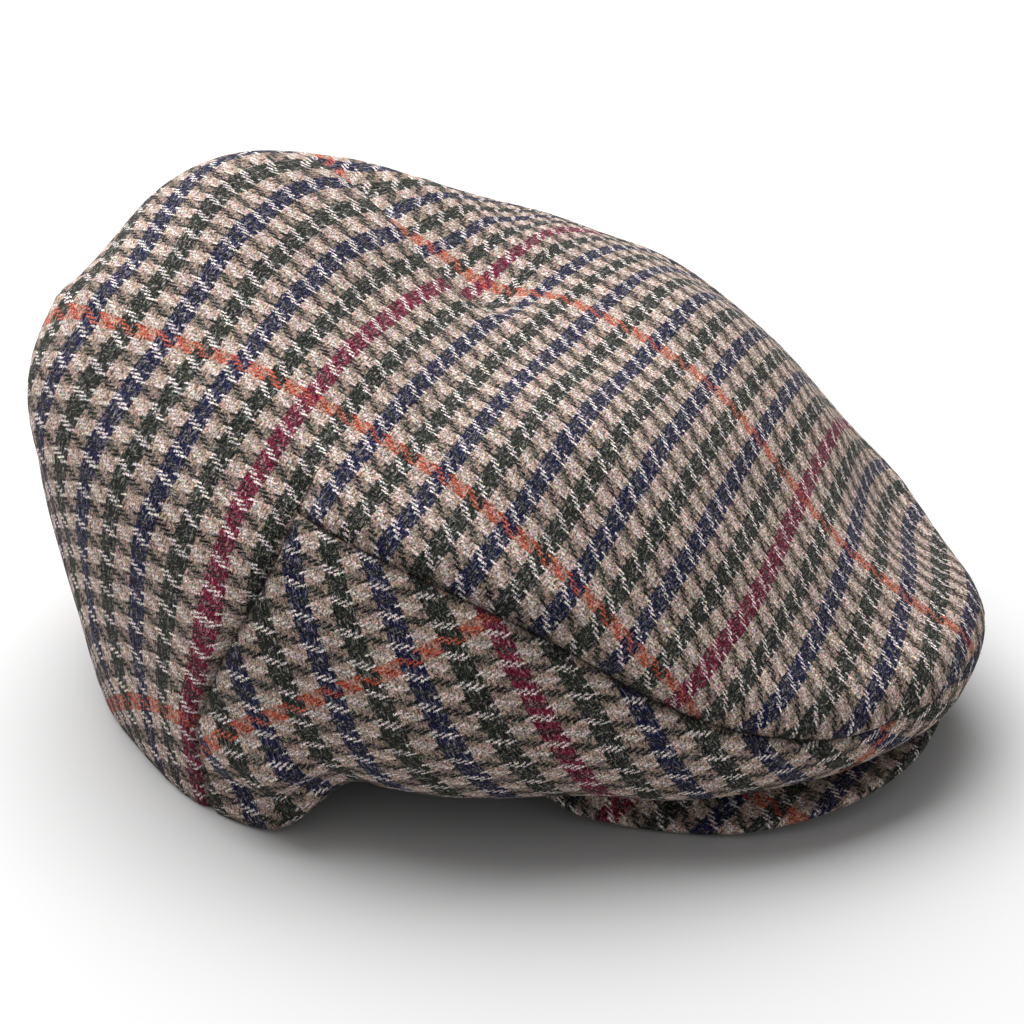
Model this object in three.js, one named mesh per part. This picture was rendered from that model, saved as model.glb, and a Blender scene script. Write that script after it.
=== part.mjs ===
// Flat cap: a one-piece top and back panel, two side panels and a cloth-covered peak.
//
// Millimetres, +Z up, the peak points along -Y and the wearer's right is -X. The cap rests on z = 0
// on the two sides of its peak and on the soft lobes at the back.
//
// A place on the crown is given by a bearing and a height share. The bearing is in degrees round the
// vertical axis: 0 at the front, 90 at the wearer's right, 180 at the back. The share runs up the wall:
// 0 at the hem, 1 at the middle of the top.

import * as THREE from 'three';

const WALL = 2; // thickness of the crown's cloth
const PEAK_THICKNESS = 3;
const GAP = 0.5; // between neighbouring pieces along their seams, narrower where their facets differ
const POLE_HEIGHT = 110; // of the middle of the top

// Sections of the crown at bearings from the front to the back, the same on both sides. Each gives the
// radius and height of the hem, the tuck under the edge, the belly, the shoulder and the crown ring.
// A tuck below the floor is pressed flat where it rests.
const SECTION_COLUMNS = ['bearing', 'hemR', 'hemZ', 'tuckR', 'tuckZ', 'bellyR', 'bellyZ',
  'shoulderR', 'shoulderZ', 'crownR', 'crownZ'];
const SECTIONS = [
  [0, 82, 20, 126, 15, 135, 32, 100, 61, 56, 99],
  [30, 82, 18, 114, 15.5, 122, 31, 100, 64, 58, 101],
  [60, 82, 15, 96, 16.5, 106, 33, 96, 75, 58, 105],
  [90, 84, 13, 96, 17, 109, 38, 103, 85, 59, 108],
  [97, 86, 12, 99, 17, 110, 40, 105, 87, 61, 111],
  [106, 90, 11, 106, 1, 114, 42, 107, 90, 62, 114],
  [130, 99, 11, 108, -3, 118, 49, 115, 96, 72, 124],
  [155, 107, 11, 112, -4, 127, 59, 127, 105, 75, 136],
  [180, 110, 11, 115, -4, 137, 70, 123, 107, 84, 143],
];
const SECTION_RINGS = ['hem', 'tuck', 'belly', 'shoulder', 'crown'];

// Seam over a side panel: the height share at each share of the panel's length, front to tip.
const UPPER_SEAM_COLUMNS = ['along', 'height'];
const UPPER_SEAM = [
  [0, 0.405],
  [0.2, 0.395],
  [0.32, 0.433],
  [0.45, 0.485],
  [0.6, 0.545],
  [0.75, 0.59],
  [0.88, 0.62],
  [1, 0.64],
];

// Seam behind a side panel: its bearing at each height share, from the hem up to the panel's tip.
const REAR_SEAM_COLUMNS = ['height', 'bearing'];
const REAR_SEAM = [
  [0, 117],
  [0.3, 117],
  [0.4, 113],
  [0.5, 107],
  [0.56, 104],
  [0.6, 103],
  [0.64, 103],
];
const TIP_HEIGHT = 0.64;

// The crease pressed into the top: a steep near wall along a straight line, and a gentle far side.
const DENT_BACK = new THREE.Vector2(22, 60);
const DENT_FRONT = new THREE.Vector2(-1, 12);
const DENT_DEPTH = 11;
const DENT_WALL = 6;
const DENT_SPREAD = 42;
const DENT_FADE = 25;

// Lower edge of the peak, from its middle round to the corner under the side panel: distance to the
// side, distance forward and height.
const PEAK_EDGE_COLUMNS = ['side', 'forward', 'height'];
const PEAK_EDGE = [
  [0, 126, 9.5],
  [24, 124, 8],
  [44, 114, 5.5],
  [58, 98, 2.5],
  [65, 83, 0.6],
  [68, 67, 0],
  [71, 54, 1.5],
  [74.5, 45, 5],
  [75, 37, 10.5],
];
const PEAK_HEM_BEARING = 64; // where the peak's seam ends, each way from the front
const PEAK_SEAM_DROP = 0.7; // the peak's upper face below the hem
const PEAK_DROOP = 2; // the peak's middle below a straight line from its seam to its edge

// Grid steps of the meshes.
const SEAM_STEPS = 16; // along a side panel
const REAR_STEPS = 8; // up a side panel's rear seam
const BACK_STEPS = 12; // half of the back hem
const TOP_RINGS = 20; // from the middle of the top to its edge
const PEAK_STEPS = 32;
const PEAK_RINGS = 6;
const FAN_BEARING = 132; // where the grid line to the rear seam's foot leaves the middle of the top

const FLOOR = 0;
const STEP = 1e-3; // for slopes

const TWEED = { color: 0x7a6f62, roughness: 0.95, metalness: 0 };
const TWEED_SIDE = { color: 0x6f675b, roughness: 0.95, metalness: 0 };
const TWEED_PEAK = { color: 0x5f574d, roughness: 0.95, metalness: 0 };

/** Turns rows of numbers into objects with the columns' names. */
function readTable(columns, rows) {
  return rows.map((row) => Object.fromEntries(columns.map((name, k) => [name, row[k]])));
}

const sections = readTable(SECTION_COLUMNS, SECTIONS);
const upperSeam = readTable(UPPER_SEAM_COLUMNS, UPPER_SEAM);
const rearSeam = readTable(REAR_SEAM_COLUMNS, REAR_SEAM);
const peakEdge = readTable(PEAK_EDGE_COLUMNS, PEAK_EDGE);

/** Smooth value of one column of a table at a place on its key column. */
function tableValue(rows, key, column, place) {
  let low = 0;
  while (low < rows.length - 2 && rows[low + 1][key] <= place) low += 1;
  const last = rows.length - 1;
  const slopeAt = (k) => {
    const before = rows[Math.max(k - 1, 0)];
    const after = rows[Math.min(k + 1, last)];
    return (after[column] - before[column]) / (after[key] - before[key]);
  };
  const start = rows[low];
  const end = rows[low + 1];
  const span = end[key] - start[key];
  const w = (place - start[key]) / span;
  const rise = w * w * (3 - 2 * w);
  const lead = w * (1 - w) * (1 - w) * span * slopeAt(low);
  const tail = w * w * (w - 1) * span * slopeAt(low + 1);
  return start[column] * (1 - rise) + end[column] * rise + lead + tail;
}

/** The sections mirrored past the front and the back, so that slopes there are level. */
const wrappedSections = [
  { ...sections[1], bearing: -sections[1].bearing },
  ...sections,
  { ...sections[sections.length - 2], bearing: 360 - sections[sections.length - 2].bearing },
];

/** Radius and height of one ring of the crown at a bearing. */
function ringAt(ring, bearing) {
  const turned = THREE.MathUtils.euclideanModulo(bearing, 360);
  const folded = Math.min(turned, 360 - turned);
  return {
    radius: tableValue(wrappedSections, 'bearing', `${ring}R`, folded),
    height: tableValue(wrappedSections, 'bearing', `${ring}Z`, folded),
  };
}

/** Point at a bearing, radius and height. */
function polarPoint(bearing, radius, height) {
  const angle = THREE.MathUtils.degToRad(bearing);
  return new THREE.Vector3(-radius * Math.sin(angle), -radius * Math.cos(angle), height);
}

/** Curve over the whole cap, from the hem at one bearing to the hem on the other side. */
function meridian(bearing) {
  const rise = SECTION_RINGS.map((ring) => {
    const { radius, height } = ringAt(ring, bearing);
    return polarPoint(bearing, radius, height);
  });
  const fall = SECTION_RINGS.map((ring) => {
    const { radius, height } = ringAt(ring, bearing + 180);
    return polarPoint(bearing + 180, radius, height);
  }).reverse();
  const pole = new THREE.Vector3(0, 0, POLE_HEIGHT);
  return new THREE.CatmullRomCurve3([...rise, pole, ...fall], false, 'centripetal');
}

/** Depth of the top's crease at a place seen from above. */
function dentDepth(x, y) {
  const line = DENT_FRONT.clone().sub(DENT_BACK);
  const length = line.length();
  line.divideScalar(length);
  const from = new THREE.Vector2(x, y).sub(DENT_BACK);
  const along = from.dot(line);
  const across = line.x * from.y - line.y * from.x;
  const fadeIn = THREE.MathUtils.smoothstep(along, -DENT_FADE, 0);
  const fadeOut = 1 - THREE.MathUtils.smoothstep(along, length, length + DENT_FADE);
  const wall = THREE.MathUtils.smoothstep(across, 0, DENT_WALL);
  const spread = 1 - THREE.MathUtils.smoothstep(across, DENT_WALL, DENT_WALL + DENT_SPREAD);
  return DENT_DEPTH * fadeIn * fadeOut * wall * spread;
}

/** Point on the outside of the crown, flattened where it rests. */
function crownPoint(bearing, height) {
  const point = meridian(bearing).getPoint(height / 2);
  point.z = Math.max(point.z - dentDepth(point.x, point.y), FLOOR);
  return point;
}

/** Outward direction of the crown's outside. */
function crownNormal(bearing, height) {
  if (height > 1 - STEP) {
    const ring = [0, 90, 180, 270].map((turn) => crownPoint(turn, 1 - STEP));
    const across = ring[3].clone().sub(ring[1]);
    const forward = ring[2].clone().sub(ring[0]);
    return across.cross(forward).normalize();
  }
  const low = Math.max(height - STEP, 0);
  const up = crownPoint(bearing, height + STEP).sub(crownPoint(bearing, low));
  const round = crownPoint(bearing + 1, height).sub(crownPoint(bearing - 1, height));
  return up.cross(round).normalize();
}

/** A vertex of a cloth sheet: its outer point and the outward direction there. */
function crownVertex(bearing, height) {
  return { point: crownPoint(bearing, height), normal: crownNormal(bearing, height) };
}

/** Moves the vertices round a sheet's edge inward along the sheet, to leave half the gap. */
function insetEdge(loop, inward) {
  const moves = loop.map((vertex, k) => {
    const before = loop[(k + loop.length - 1) % loop.length].point;
    const after = loop[(k + 1) % loop.length].point;
    const along = after.clone().sub(before);
    return vertex.normal.clone().cross(along).setLength((inward * GAP) / 2);
  });
  loop.forEach((vertex, k) => vertex.point.add(moves[k]));
}

/** Closed mesh from triangles of vertices, each vertex an object with a point. */
function closedMesh(name, finish, vertices, triangles) {
  const index = new Map(vertices.map((vertex, k) => [vertex, k]));
  const geometry = new THREE.BufferGeometry();
  const positions = vertices.flatMap(({ point }) => point.toArray());
  geometry.setAttribute('position', new THREE.Float32BufferAttribute(positions, 3));
  geometry.setIndex(triangles.flat().map((vertex) => index.get(vertex)));
  geometry.computeVertexNormals();
  const mesh = new THREE.Mesh(geometry, new THREE.MeshStandardMaterial(finish));
  mesh.name = name;
  return mesh;
}

/** Two triangles over a cell, anticlockwise seen from outside, split on its shorter diagonal. */
function cell(a, b, c, d) {
  if (a.point.distanceTo(c.point) <= b.point.distanceTo(d.point)) return [[a, b, c], [a, c, d]];
  return [[a, b, d], [b, c, d]];
}

/**
 * Cloth of even thickness over a face of vertices.
 * The face is a list of triangles; the edge is the loop of vertices round it, anticlockwise seen from
 * outside; every vertex has its own thickness, measured against its normal.
 */
function thicken(name, finish, vertices, face, edge, thickness) {
  const backOf = new Map(vertices.map((vertex) => [
    vertex,
    { point: vertex.point.clone().addScaledVector(vertex.normal, -thickness) },
  ]));
  const back = face.map(([a, b, c]) => [backOf.get(a), backOf.get(c), backOf.get(b)]);
  const rim = edge.flatMap((vertex, k) => {
    const next = edge[(k + 1) % edge.length];
    return cell(next, vertex, backOf.get(vertex), backOf.get(next));
  });
  return closedMesh(name, finish, [...vertices, ...backOf.values()], [...face, ...back, ...rim]);
}

/** Bearing and height on a side panel, from shares along it and up it. */
function sidePanelPlace(along, up) {
  const height = up * tableValue(upperSeam, 'along', 'height', along);
  const bearing = along * tableValue(rearSeam, 'height', 'bearing', height);
  return { bearing, height };
}

/** Side panel on the wearer's right (side 1) or left (side -1). */
function makeSidePanel(name, side) {
  const columns = [];
  for (let i = 0; i <= SEAM_STEPS; i += 1) {
    const column = [];
    for (let j = 0; j <= REAR_STEPS; j += 1) {
      const { bearing, height } = sidePanelPlace(i / SEAM_STEPS, j / REAR_STEPS);
      column.push(crownVertex(side * bearing, height));
    }
    columns.push(column);
  }
  const ordered = side > 0 ? columns.reverse() : columns;
  const face = gridFace(ordered);
  const edge = gridEdge(ordered);
  insetEdge(edge, 1);
  return thicken(name, TWEED_SIDE, ordered.flat(), face, edge, WALL);
}

/** Triangles of a grid whose columns go from left to right and rows go up, seen from outside. */
function gridFace(columns) {
  const face = [];
  for (let i = 0; i + 1 < columns.length; i += 1) {
    for (let j = 0; j + 1 < columns[i].length; j += 1) {
      face.push(...cell(columns[i][j], columns[i + 1][j], columns[i + 1][j + 1], columns[i][j + 1]));
    }
  }
  return face;
}

/** Vertices round such a grid, anticlockwise seen from outside. */
function gridEdge(columns) {
  const foot = columns.map((column) => column[0]);
  const head = columns.map((column) => column[column.length - 1]);
  const left = columns[0].slice(1, -1).reverse();
  const right = columns[columns.length - 1].slice(1, -1);
  return [...foot, ...right, ...head.reverse(), ...left];
}

/** Edge of the top on the wearer's right, front to back: where each grid line leaves and ends. */
function topEdgeHalf() {
  const places = [];
  for (let i = 0; i < SEAM_STEPS; i += 1) {
    const { bearing, height } = sidePanelPlace(i / SEAM_STEPS, 1);
    places.push({ leave: bearing, bearing, height });
  }
  const tip = sidePanelPlace(1, 1).bearing;
  for (let j = 0; j < REAR_STEPS; j += 1) {
    const share = j / REAR_STEPS;
    const height = TIP_HEIGHT * (1 - share);
    const bearing = tableValue(rearSeam, 'height', 'bearing', height);
    places.push({ leave: THREE.MathUtils.lerp(tip, FAN_BEARING, share), bearing, height });
  }
  const foot = tableValue(rearSeam, 'height', 'bearing', 0);
  for (let k = 0; k <= BACK_STEPS; k += 1) {
    const share = k / BACK_STEPS;
    const leave = THREE.MathUtils.lerp(FAN_BEARING, 180, share);
    places.push({ leave, bearing: THREE.MathUtils.lerp(foot, 180, share), height: 0 });
  }
  return places;
}

/** Top and back panel, on grid lines that fan out from the middle of the top. */
function makeCrownTop(name) {
  const right = topEdgeHalf();
  const left = right.slice(1, -1).reverse().map(({ leave, bearing, height }) => (
    { leave: 360 - leave, bearing: 360 - bearing, height }
  ));
  const lines = [...right, ...left].map(({ leave, bearing, height }) => {
    const line = [];
    for (let k = 1; k <= TOP_RINGS; k += 1) {
      const share = k / TOP_RINGS;
      const at = THREE.MathUtils.lerp(leave, bearing, share);
      line.push(crownVertex(at, THREE.MathUtils.lerp(1, height, share)));
    }
    return line;
  });
  const pole = crownVertex(0, 1);
  const edge = lines.map((line) => line[TOP_RINGS - 1]).reverse();
  insetEdge(edge, 1);
  const face = [];
  lines.forEach((line, i) => {
    const next = lines[(i + 1) % lines.length];
    face.push([pole, next[0], line[0]]);
    for (let k = 0; k + 1 < TOP_RINGS; k += 1) {
      face.push(...cell(line[k], next[k], next[k + 1], line[k + 1]));
    }
  });
  return thicken(name, TWEED, [pole, ...lines.flat()], face, edge, WALL);
}

/** Peak: a bent plate from its seam under the hem to its lower edge. */
function makePeak(name) {
  const half = peakEdge.map(({ side, forward, height }) => new THREE.Vector3(side, -forward, height));
  const mirrored = half.slice(1).reverse().map((point) => point.clone().setX(-point.x));
  const edgeCurve = new THREE.CatmullRomCurve3([...mirrored, ...half], false, 'centripetal');
  const columns = [];
  for (let i = 0; i <= PEAK_STEPS; i += 1) {
    const share = i / PEAK_STEPS;
    const bearing = THREE.MathUtils.lerp(PEAK_HEM_BEARING, -PEAK_HEM_BEARING, share);
    const hem = ringAt('hem', bearing);
    const seam = polarPoint(bearing, hem.radius, hem.height - PEAK_SEAM_DROP);
    const edge = edgeCurve.getPoint(share);
    edge.z += PEAK_THICKNESS;
    const column = [];
    for (let j = 0; j <= PEAK_RINGS; j += 1) {
      const out = 1 - j / PEAK_RINGS;
      const point = seam.clone().lerp(edge, out);
      point.z -= PEAK_DROOP * Math.sin(Math.PI * out);
      column.push({ point, normal: new THREE.Vector3(0, 0, 1) });
    }
    columns.push(column);
  }
  return thicken(name, TWEED_PEAK, columns.flat(), gridFace(columns), gridEdge(columns), PEAK_THICKNESS);
}

const cap = new THREE.Group();
cap.add(makeCrownTop('crown_top'));
cap.add(makeSidePanel('side_panel_right', 1));
cap.add(makeSidePanel('side_panel_left', -1));
cap.add(makePeak('peak'));

export default cap;
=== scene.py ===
"""Dresses a woollen flat cap: a one-piece top and back, two side panels and a stiff peak in checked twill.

Lengths are millimetres until a mesh is made. +Z is up, the peak points along -Y and the wearer's right
is -X. A place on the crown is a bearing, in degrees round the vertical axis (0 at the front, 90 at the
wearer's right, 180 at the back), and a height share (0 at the hem, 1 at the middle of the top).
"""

import logging
import math
from dataclasses import dataclass, field
from enum import Enum

import bpy
import numpy as np
from mathutils import Matrix, Vector


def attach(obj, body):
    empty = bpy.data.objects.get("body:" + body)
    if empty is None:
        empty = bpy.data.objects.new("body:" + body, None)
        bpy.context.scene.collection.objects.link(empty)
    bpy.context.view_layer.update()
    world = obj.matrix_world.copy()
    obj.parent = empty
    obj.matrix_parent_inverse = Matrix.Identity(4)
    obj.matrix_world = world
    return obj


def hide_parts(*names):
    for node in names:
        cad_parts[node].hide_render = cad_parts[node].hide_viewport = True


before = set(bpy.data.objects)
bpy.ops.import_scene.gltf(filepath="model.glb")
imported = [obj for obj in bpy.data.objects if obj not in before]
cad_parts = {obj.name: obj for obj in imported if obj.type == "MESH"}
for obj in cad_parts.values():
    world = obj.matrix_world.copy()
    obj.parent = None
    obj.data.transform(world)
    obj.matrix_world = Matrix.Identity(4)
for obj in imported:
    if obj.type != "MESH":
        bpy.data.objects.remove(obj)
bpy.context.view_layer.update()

BODY = "root"
MM = 1e-3
CLOTH_MAP = "cloth"  # the UV map that holds a place in the check
SEAM_FIELD = "seam"  # the attribute that is 1 on a seam and 0 away from it
SEAM_REACH = 1.6  # distance from a seam over which that dies away

Tree = bpy.types.NodeTree
Socket = bpy.types.NodeSocket

log = logging.getLogger("flat_cap")


# ---------------------------------------------------------------- small helpers


def linear(hex_colour: str) -> tuple[float, float, float, float]:
    """Turns an sRGB hex colour into linear red, green, blue and alpha.

    Args:
        hex_colour: Six hex digits after a hash, such as "#CDB49C".

    Returns:
        Four linear values.
    """
    values = []
    for k in (1, 3, 5):
        share = int(hex_colour[k:k + 2], 16) / 255
        values.append(share / 12.92 if share <= 0.04045 else ((share + 0.055) / 1.055) ** 2.4)
    return (*values, 1.0)


def smooth_step(value: np.ndarray, low: float, high: float) -> np.ndarray:
    """Rises smoothly from 0 at low to 1 at high."""
    share = np.clip((value - low) / (high - low), 0.0, 1.0)
    return share * share * (3 - 2 * share)


def table_value(rows: np.ndarray, place: np.ndarray) -> np.ndarray:
    """Reads a table smoothly between its rows.

    Args:
        rows: One row for each key, the key first and its values after it.
        place: Keys to read at.

    Returns:
        The values at each place, along a last axis.
    """
    place = np.asarray(place, float)
    last = len(rows) - 1
    low = np.clip(np.searchsorted(rows[:, 0], place, side="right") - 1, 0, last - 1)

    def slope(row: np.ndarray) -> np.ndarray:
        """Mean slope from the row before to the row after.

        Args:
            row: Row numbers.

        Returns:
            The slope of each value by the key.
        """
        before = rows[np.maximum(row - 1, 0)]
        after = rows[np.minimum(row + 1, last)]
        return (after[..., 1:] - before[..., 1:]) / (after[..., :1] - before[..., :1])

    start, end = rows[low], rows[low + 1]
    span = end[..., :1] - start[..., :1]
    w = (place[..., None] - start[..., :1]) / span
    rise = w * w * (3 - 2 * w)
    lead = w * (1 - w) ** 2 * span * slope(low)
    tail = w * w * (w - 1) * span * slope(low + 1)
    return start[..., 1:] * (1 - rise) + end[..., 1:] * rise + lead + tail


def vertex_normals(points: np.ndarray, triangles: np.ndarray) -> np.ndarray:
    """Outward unit normals at the vertices of a triangle mesh.

    Args:
        points: Vertices.
        triangles: Faces, anticlockwise seen from outside.

    Returns:
        A unit normal for each vertex.
    """
    a, b, c = (points[triangles[:, k]] for k in range(3))
    face = np.cross(b - a, c - a)
    total = np.zeros_like(points)
    for k in range(3):
        np.add.at(total, triangles[:, k], face)
    return total / np.maximum(np.linalg.norm(total, axis=1, keepdims=True), 1e-12)


def split_quads(quads: np.ndarray) -> np.ndarray:
    """Two triangles for each four-cornered face."""
    return np.concatenate([quads[:, [0, 1, 2]], quads[:, [0, 2, 3]]])


def grid_quads(number: np.ndarray) -> np.ndarray:
    """Four-cornered faces of a grid of vertex numbers, each going on a row first and then a column."""
    corners = [number[:-1, :-1], number[1:, :-1], number[1:, 1:], number[:-1, 1:]]
    return np.stack(corners, axis=-1).reshape(-1, 4)


def run_along(lines: np.ndarray) -> np.ndarray:
    """Distance run along each line of points, from 0 at its start."""
    lengths = np.linalg.norm(np.diff(lines, axis=1), axis=2)
    return np.concatenate([np.zeros((len(lines), 1)), np.cumsum(lengths, axis=1)], axis=1)


def between_knots(knots: list[np.ndarray], w: np.ndarray) -> np.ndarray:
    """Points between the middle two of four knots, on a smooth curve through all four.

    Args:
        knots: Four arrays with a point in each row, in order along the curve.
        w: Share of the way from the second knot to the third, in a column.

    Returns:
        A point for each row.
    """
    p0, p1, p2, p3 = knots
    d0, d1, d2 = (np.sqrt(np.linalg.norm(b - a, axis=1))[:, None] for a, b in zip(knots, knots[1:]))
    t1 = ((p1 - p0) / d0 - (p2 - p0) / (d0 + d1) + (p2 - p1) / d1) * d1
    t2 = ((p2 - p1) / d1 - (p3 - p1) / (d1 + d2) + (p3 - p2) / d2) * d1
    return p1 + t1 * w + (3 * (p2 - p1) - 2 * t1 - t2) * w**2 + (2 * (p1 - p2) + t1 + t2) * w**3


def distance_to_line(points: np.ndarray, line: np.ndarray) -> np.ndarray:
    """Distance from each point to the nearest of the points along a finely stepped line.

    Args:
        points: Points to measure from.
        line: Points along the line.

    Returns:
        A distance for each point.
    """
    nearest = np.full(len(points), np.inf)
    for spot in line:
        nearest = np.minimum(nearest, ((points - spot) ** 2).sum(1))
    return np.sqrt(nearest)


def add_node(tree: Tree, kind: str, settings: dict | None = None,
             inputs: dict | None = None) -> bpy.types.Node:
    """Adds a node with its settings and links.

    Args:
        tree: Node tree to add to.
        kind: The node's type name.
        settings: Values of the node's own properties.
        inputs: For each input, by name or number, a constant or the socket that feeds it.

    Returns:
        The new node.
    """
    node = tree.nodes.new(kind)
    for name, value in (settings or {}).items():
        setattr(node, name, value)
    for name, value in (inputs or {}).items():
        if isinstance(value, Socket):
            tree.links.new(value, node.inputs[name])
        else:
            node.inputs[name].default_value = value
    return node


# ---------------------------------------------------------------- the crown's form


@dataclass(frozen=True)
class Dent:
    """The crease pressed into the top: a steep near wall along a straight line, and a gentle far side."""

    back: tuple[float, float] = (22.0, 60.0)
    front: tuple[float, float] = (4.0, 23.0)
    depth: float = 10.0
    wall: float = 9.0
    spread: float = 42.0
    fade: float = 25.0

    def depth_at(self, x: np.ndarray, y: np.ndarray) -> np.ndarray:
        """Depth of the crease at places seen from above.

        Args:
            x: Places to the side.
            y: Places to the back.

        Returns:
            A depth for each place.
        """
        line = np.subtract(self.front, self.back)
        length = np.linalg.norm(line)
        line = line / length
        from_x, from_y = x - self.back[0], y - self.back[1]
        along = from_x * line[0] + from_y * line[1]
        across = line[0] * from_y - line[1] * from_x
        ends = smooth_step(along, -self.fade, 0) * (1 - smooth_step(along, length, length + self.fade))
        walls = smooth_step(across, 0, self.wall)
        walls = walls * (1 - smooth_step(across, self.wall, self.wall + self.spread))
        return self.depth * ends * walls


@dataclass(frozen=True)
class CrownForm:
    """Outside of the crown, from sections at bearings from the front to the back, the same on both sides."""

    # bearing, then radius and height of the hem, the tuck under the edge, the belly, the shoulder, the crown
    sections: tuple = (
        (0, 82, 20, 126, 15, 135, 32, 100, 61, 56, 99),
        (30, 82, 18, 114, 15.5, 122, 31, 100, 64, 58, 101),
        (60, 82, 15, 96, 16.5, 106, 33, 96, 75, 58, 105),
        (90, 84, 13, 96, 17, 109, 38, 103, 85, 59, 108),
        (97, 86, 12, 99, 17, 110, 40, 105, 87, 61, 111),
        (106, 90, 11, 106, 1, 114, 42, 107, 90, 62, 114),
        (130, 99, 11, 108, -3, 118, 49, 115, 96, 72, 124),
        (155, 107, 11, 112, -4, 127, 59, 127, 105, 75, 136),
        (180, 110, 11, 115, -4, 137, 70, 123, 107, 84, 143),
    )
    # Seam over a side panel: the share of the panel's length and the height share.
    upper_seam: tuple = ((0, 0.405), (0.2, 0.395), (0.32, 0.433), (0.45, 0.485), (0.6, 0.545),
                         (0.75, 0.59), (0.88, 0.62), (1, 0.64))
    # Seam behind a side panel: the height share and the bearing.
    rear_seam: tuple = ((0, 117), (0.3, 117), (0.4, 113), (0.5, 107), (0.56, 104), (0.6, 103), (0.64, 103))
    pole_height: float = 110.0
    dome_from: float = 0.72  # height share above which the top is one even dome
    dome_inner: float = 18.0
    dome_outer: float = 45.0
    dome_span: float = 60.0
    dome_order: int = 5
    dome_step: float = 10.0  # degrees between the lines that the dome is fitted to
    dome_rings: int = 12
    top_from: float = 0.5  # height share below which neither the dome nor the crease reaches
    dent: Dent = Dent()

    @property
    def tip(self) -> tuple[float, float]:
        """Bearing and height share of a side panel's tip."""
        height = self.upper_seam[-1][1]
        return float(self.rear_bearing(height)), height

    def upper_height(self, along: np.ndarray) -> np.ndarray:
        """Height share of the seam over a side panel."""
        return table_value(np.array(self.upper_seam, float), along)[..., 0]

    def rear_bearing(self, height: np.ndarray) -> np.ndarray:
        """Bearing of the seam behind a side panel."""
        return table_value(np.array(self.rear_seam, float), height)[..., 0]

    def rings(self, bearing: np.ndarray) -> np.ndarray:
        """Radius and height of the five rings at each bearing.

        Args:
            bearing: Degrees round the vertical axis.

        Returns:
            For each bearing, a row of radius and height for each ring.
        """
        rows = np.array(self.sections, float)
        turned = np.mod(bearing, 360)
        folded = np.minimum(turned, 360 - turned)
        first, last = rows[1].copy(), rows[-2].copy()
        first[0] *= -1
        last[0] = 360 - last[0]
        found = table_value(np.vstack([first, rows, last]), folded)
        return found.reshape(*folded.shape, -1, 2)

    def bare(self, bearing: np.ndarray, height: np.ndarray) -> np.ndarray:
        """Points on the curves over the cap, before the dome is evened and the crease is pressed in.

        Args:
            bearing: Degrees round the vertical axis.
            height: Height shares.

        Returns:
            Points with a last axis of x, y and z.
        """
        bearing, height = np.broadcast_arrays(np.asarray(bearing, float), np.asarray(height, float))
        shape = bearing.shape
        bearing, height = bearing.ravel(), height.ravel()
        rise = self.rings(bearing)
        fall = self.rings(bearing + 180)[:, ::-1] * np.array([-1.0, 1.0])
        pole = np.broadcast_to([0.0, self.pole_height], (len(bearing), 1, 2))
        knots = np.concatenate([rise, pole, fall], axis=1)
        first = 2 * knots[:, :1] - knots[:, 1:2]
        last = 2 * knots[:, -1:] - knots[:, -2:-1]
        spans = knots.shape[1] - 1
        knots = np.concatenate([first, knots, last], axis=1)
        place = height / 2 * spans
        low = np.clip(place.astype(int), 0, spans - 1)
        w = (place - low)[:, None]
        row = np.arange(len(bearing))
        place = between_knots([knots[row, low + k] for k in range(4)], w)
        angle = np.radians(bearing)
        points = [-place[:, 0] * np.sin(angle), -place[:, 0] * np.cos(angle), place[:, 1]]
        return np.stack(points, axis=-1).reshape(*shape, 3)

    def _powers(self, points: np.ndarray) -> np.ndarray:
        """Powers of x and y for the dome's height.

        Args:
            points: Points on the top.

        Returns:
            The powers along a last axis.
        """
        x, y = points[..., 0] / self.dome_span, points[..., 1] / self.dome_span
        order = self.dome_order
        return np.stack([x**i * y**j for i in range(order) for j in range(order - i)], axis=-1)

    def point(self, bearing: np.ndarray, height: np.ndarray) -> np.ndarray:
        """Points on the outside of the crown.

        Args:
            bearing: Degrees round the vertical axis.
            height: Height shares.

        Returns:
            Points with a last axis of x, y and z.
        """
        points = self.bare(bearing, height)
        bearings, heights = np.meshgrid(np.arange(0, 360, self.dome_step),
                                        np.linspace(self.dome_from, 1, self.dome_rings))
        ring = self.bare(bearings, heights).reshape(-1, 3)
        factors = np.linalg.lstsq(self._powers(ring), ring[:, 2], rcond=None)[0]
        radius = np.hypot(points[..., 0], points[..., 1])
        share = 1 - smooth_step(radius, self.dome_inner, self.dome_outer)
        on_top = np.asarray(height) > self.top_from
        share = share * on_top
        dome = self._powers(points) @ factors
        points[..., 2] = points[..., 2] * (1 - share) + dome * share
        points[..., 2] -= self.dent.depth_at(points[..., 0], points[..., 1]) * on_top
        return points


@dataclass(frozen=True)
class Fold:
    """A soft ridge or valley between two places on the crown."""

    start: tuple[float, float]
    end: tuple[float, float]
    width: float
    rise: float  # below zero for a valley
    taper: float = 0.35  # share of the length over which each end dies away
    steps: int = 24

    def lift(self, form: CrownForm, points: np.ndarray) -> np.ndarray:
        """How far the fold moves each point outward.

        Args:
            form: The crown that the fold lies on.
            points: Points to move.

        Returns:
            A distance for each point, below zero for inward.
        """
        share = np.linspace(0, 1, self.steps)
        bearing = self.start[0] + (self.end[0] - self.start[0]) * share
        height = self.start[1] + (self.end[1] - self.start[1]) * share
        line = form.point(bearing, height)
        square = ((points[:, None] - line[None]) ** 2).sum(2)
        nearest = square.argmin(1)
        near = np.sqrt(square.min(1))
        at = share[nearest]
        ends = smooth_step(at, -self.taper / 2, self.taper)
        ends = ends * (1 - smooth_step(at, 1 - self.taper, 1 + self.taper / 2))
        return self.rise * np.exp(-(near / self.width) ** 2) * ends


# ---------------------------------------------------------------- how the check lies on a panel


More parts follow.
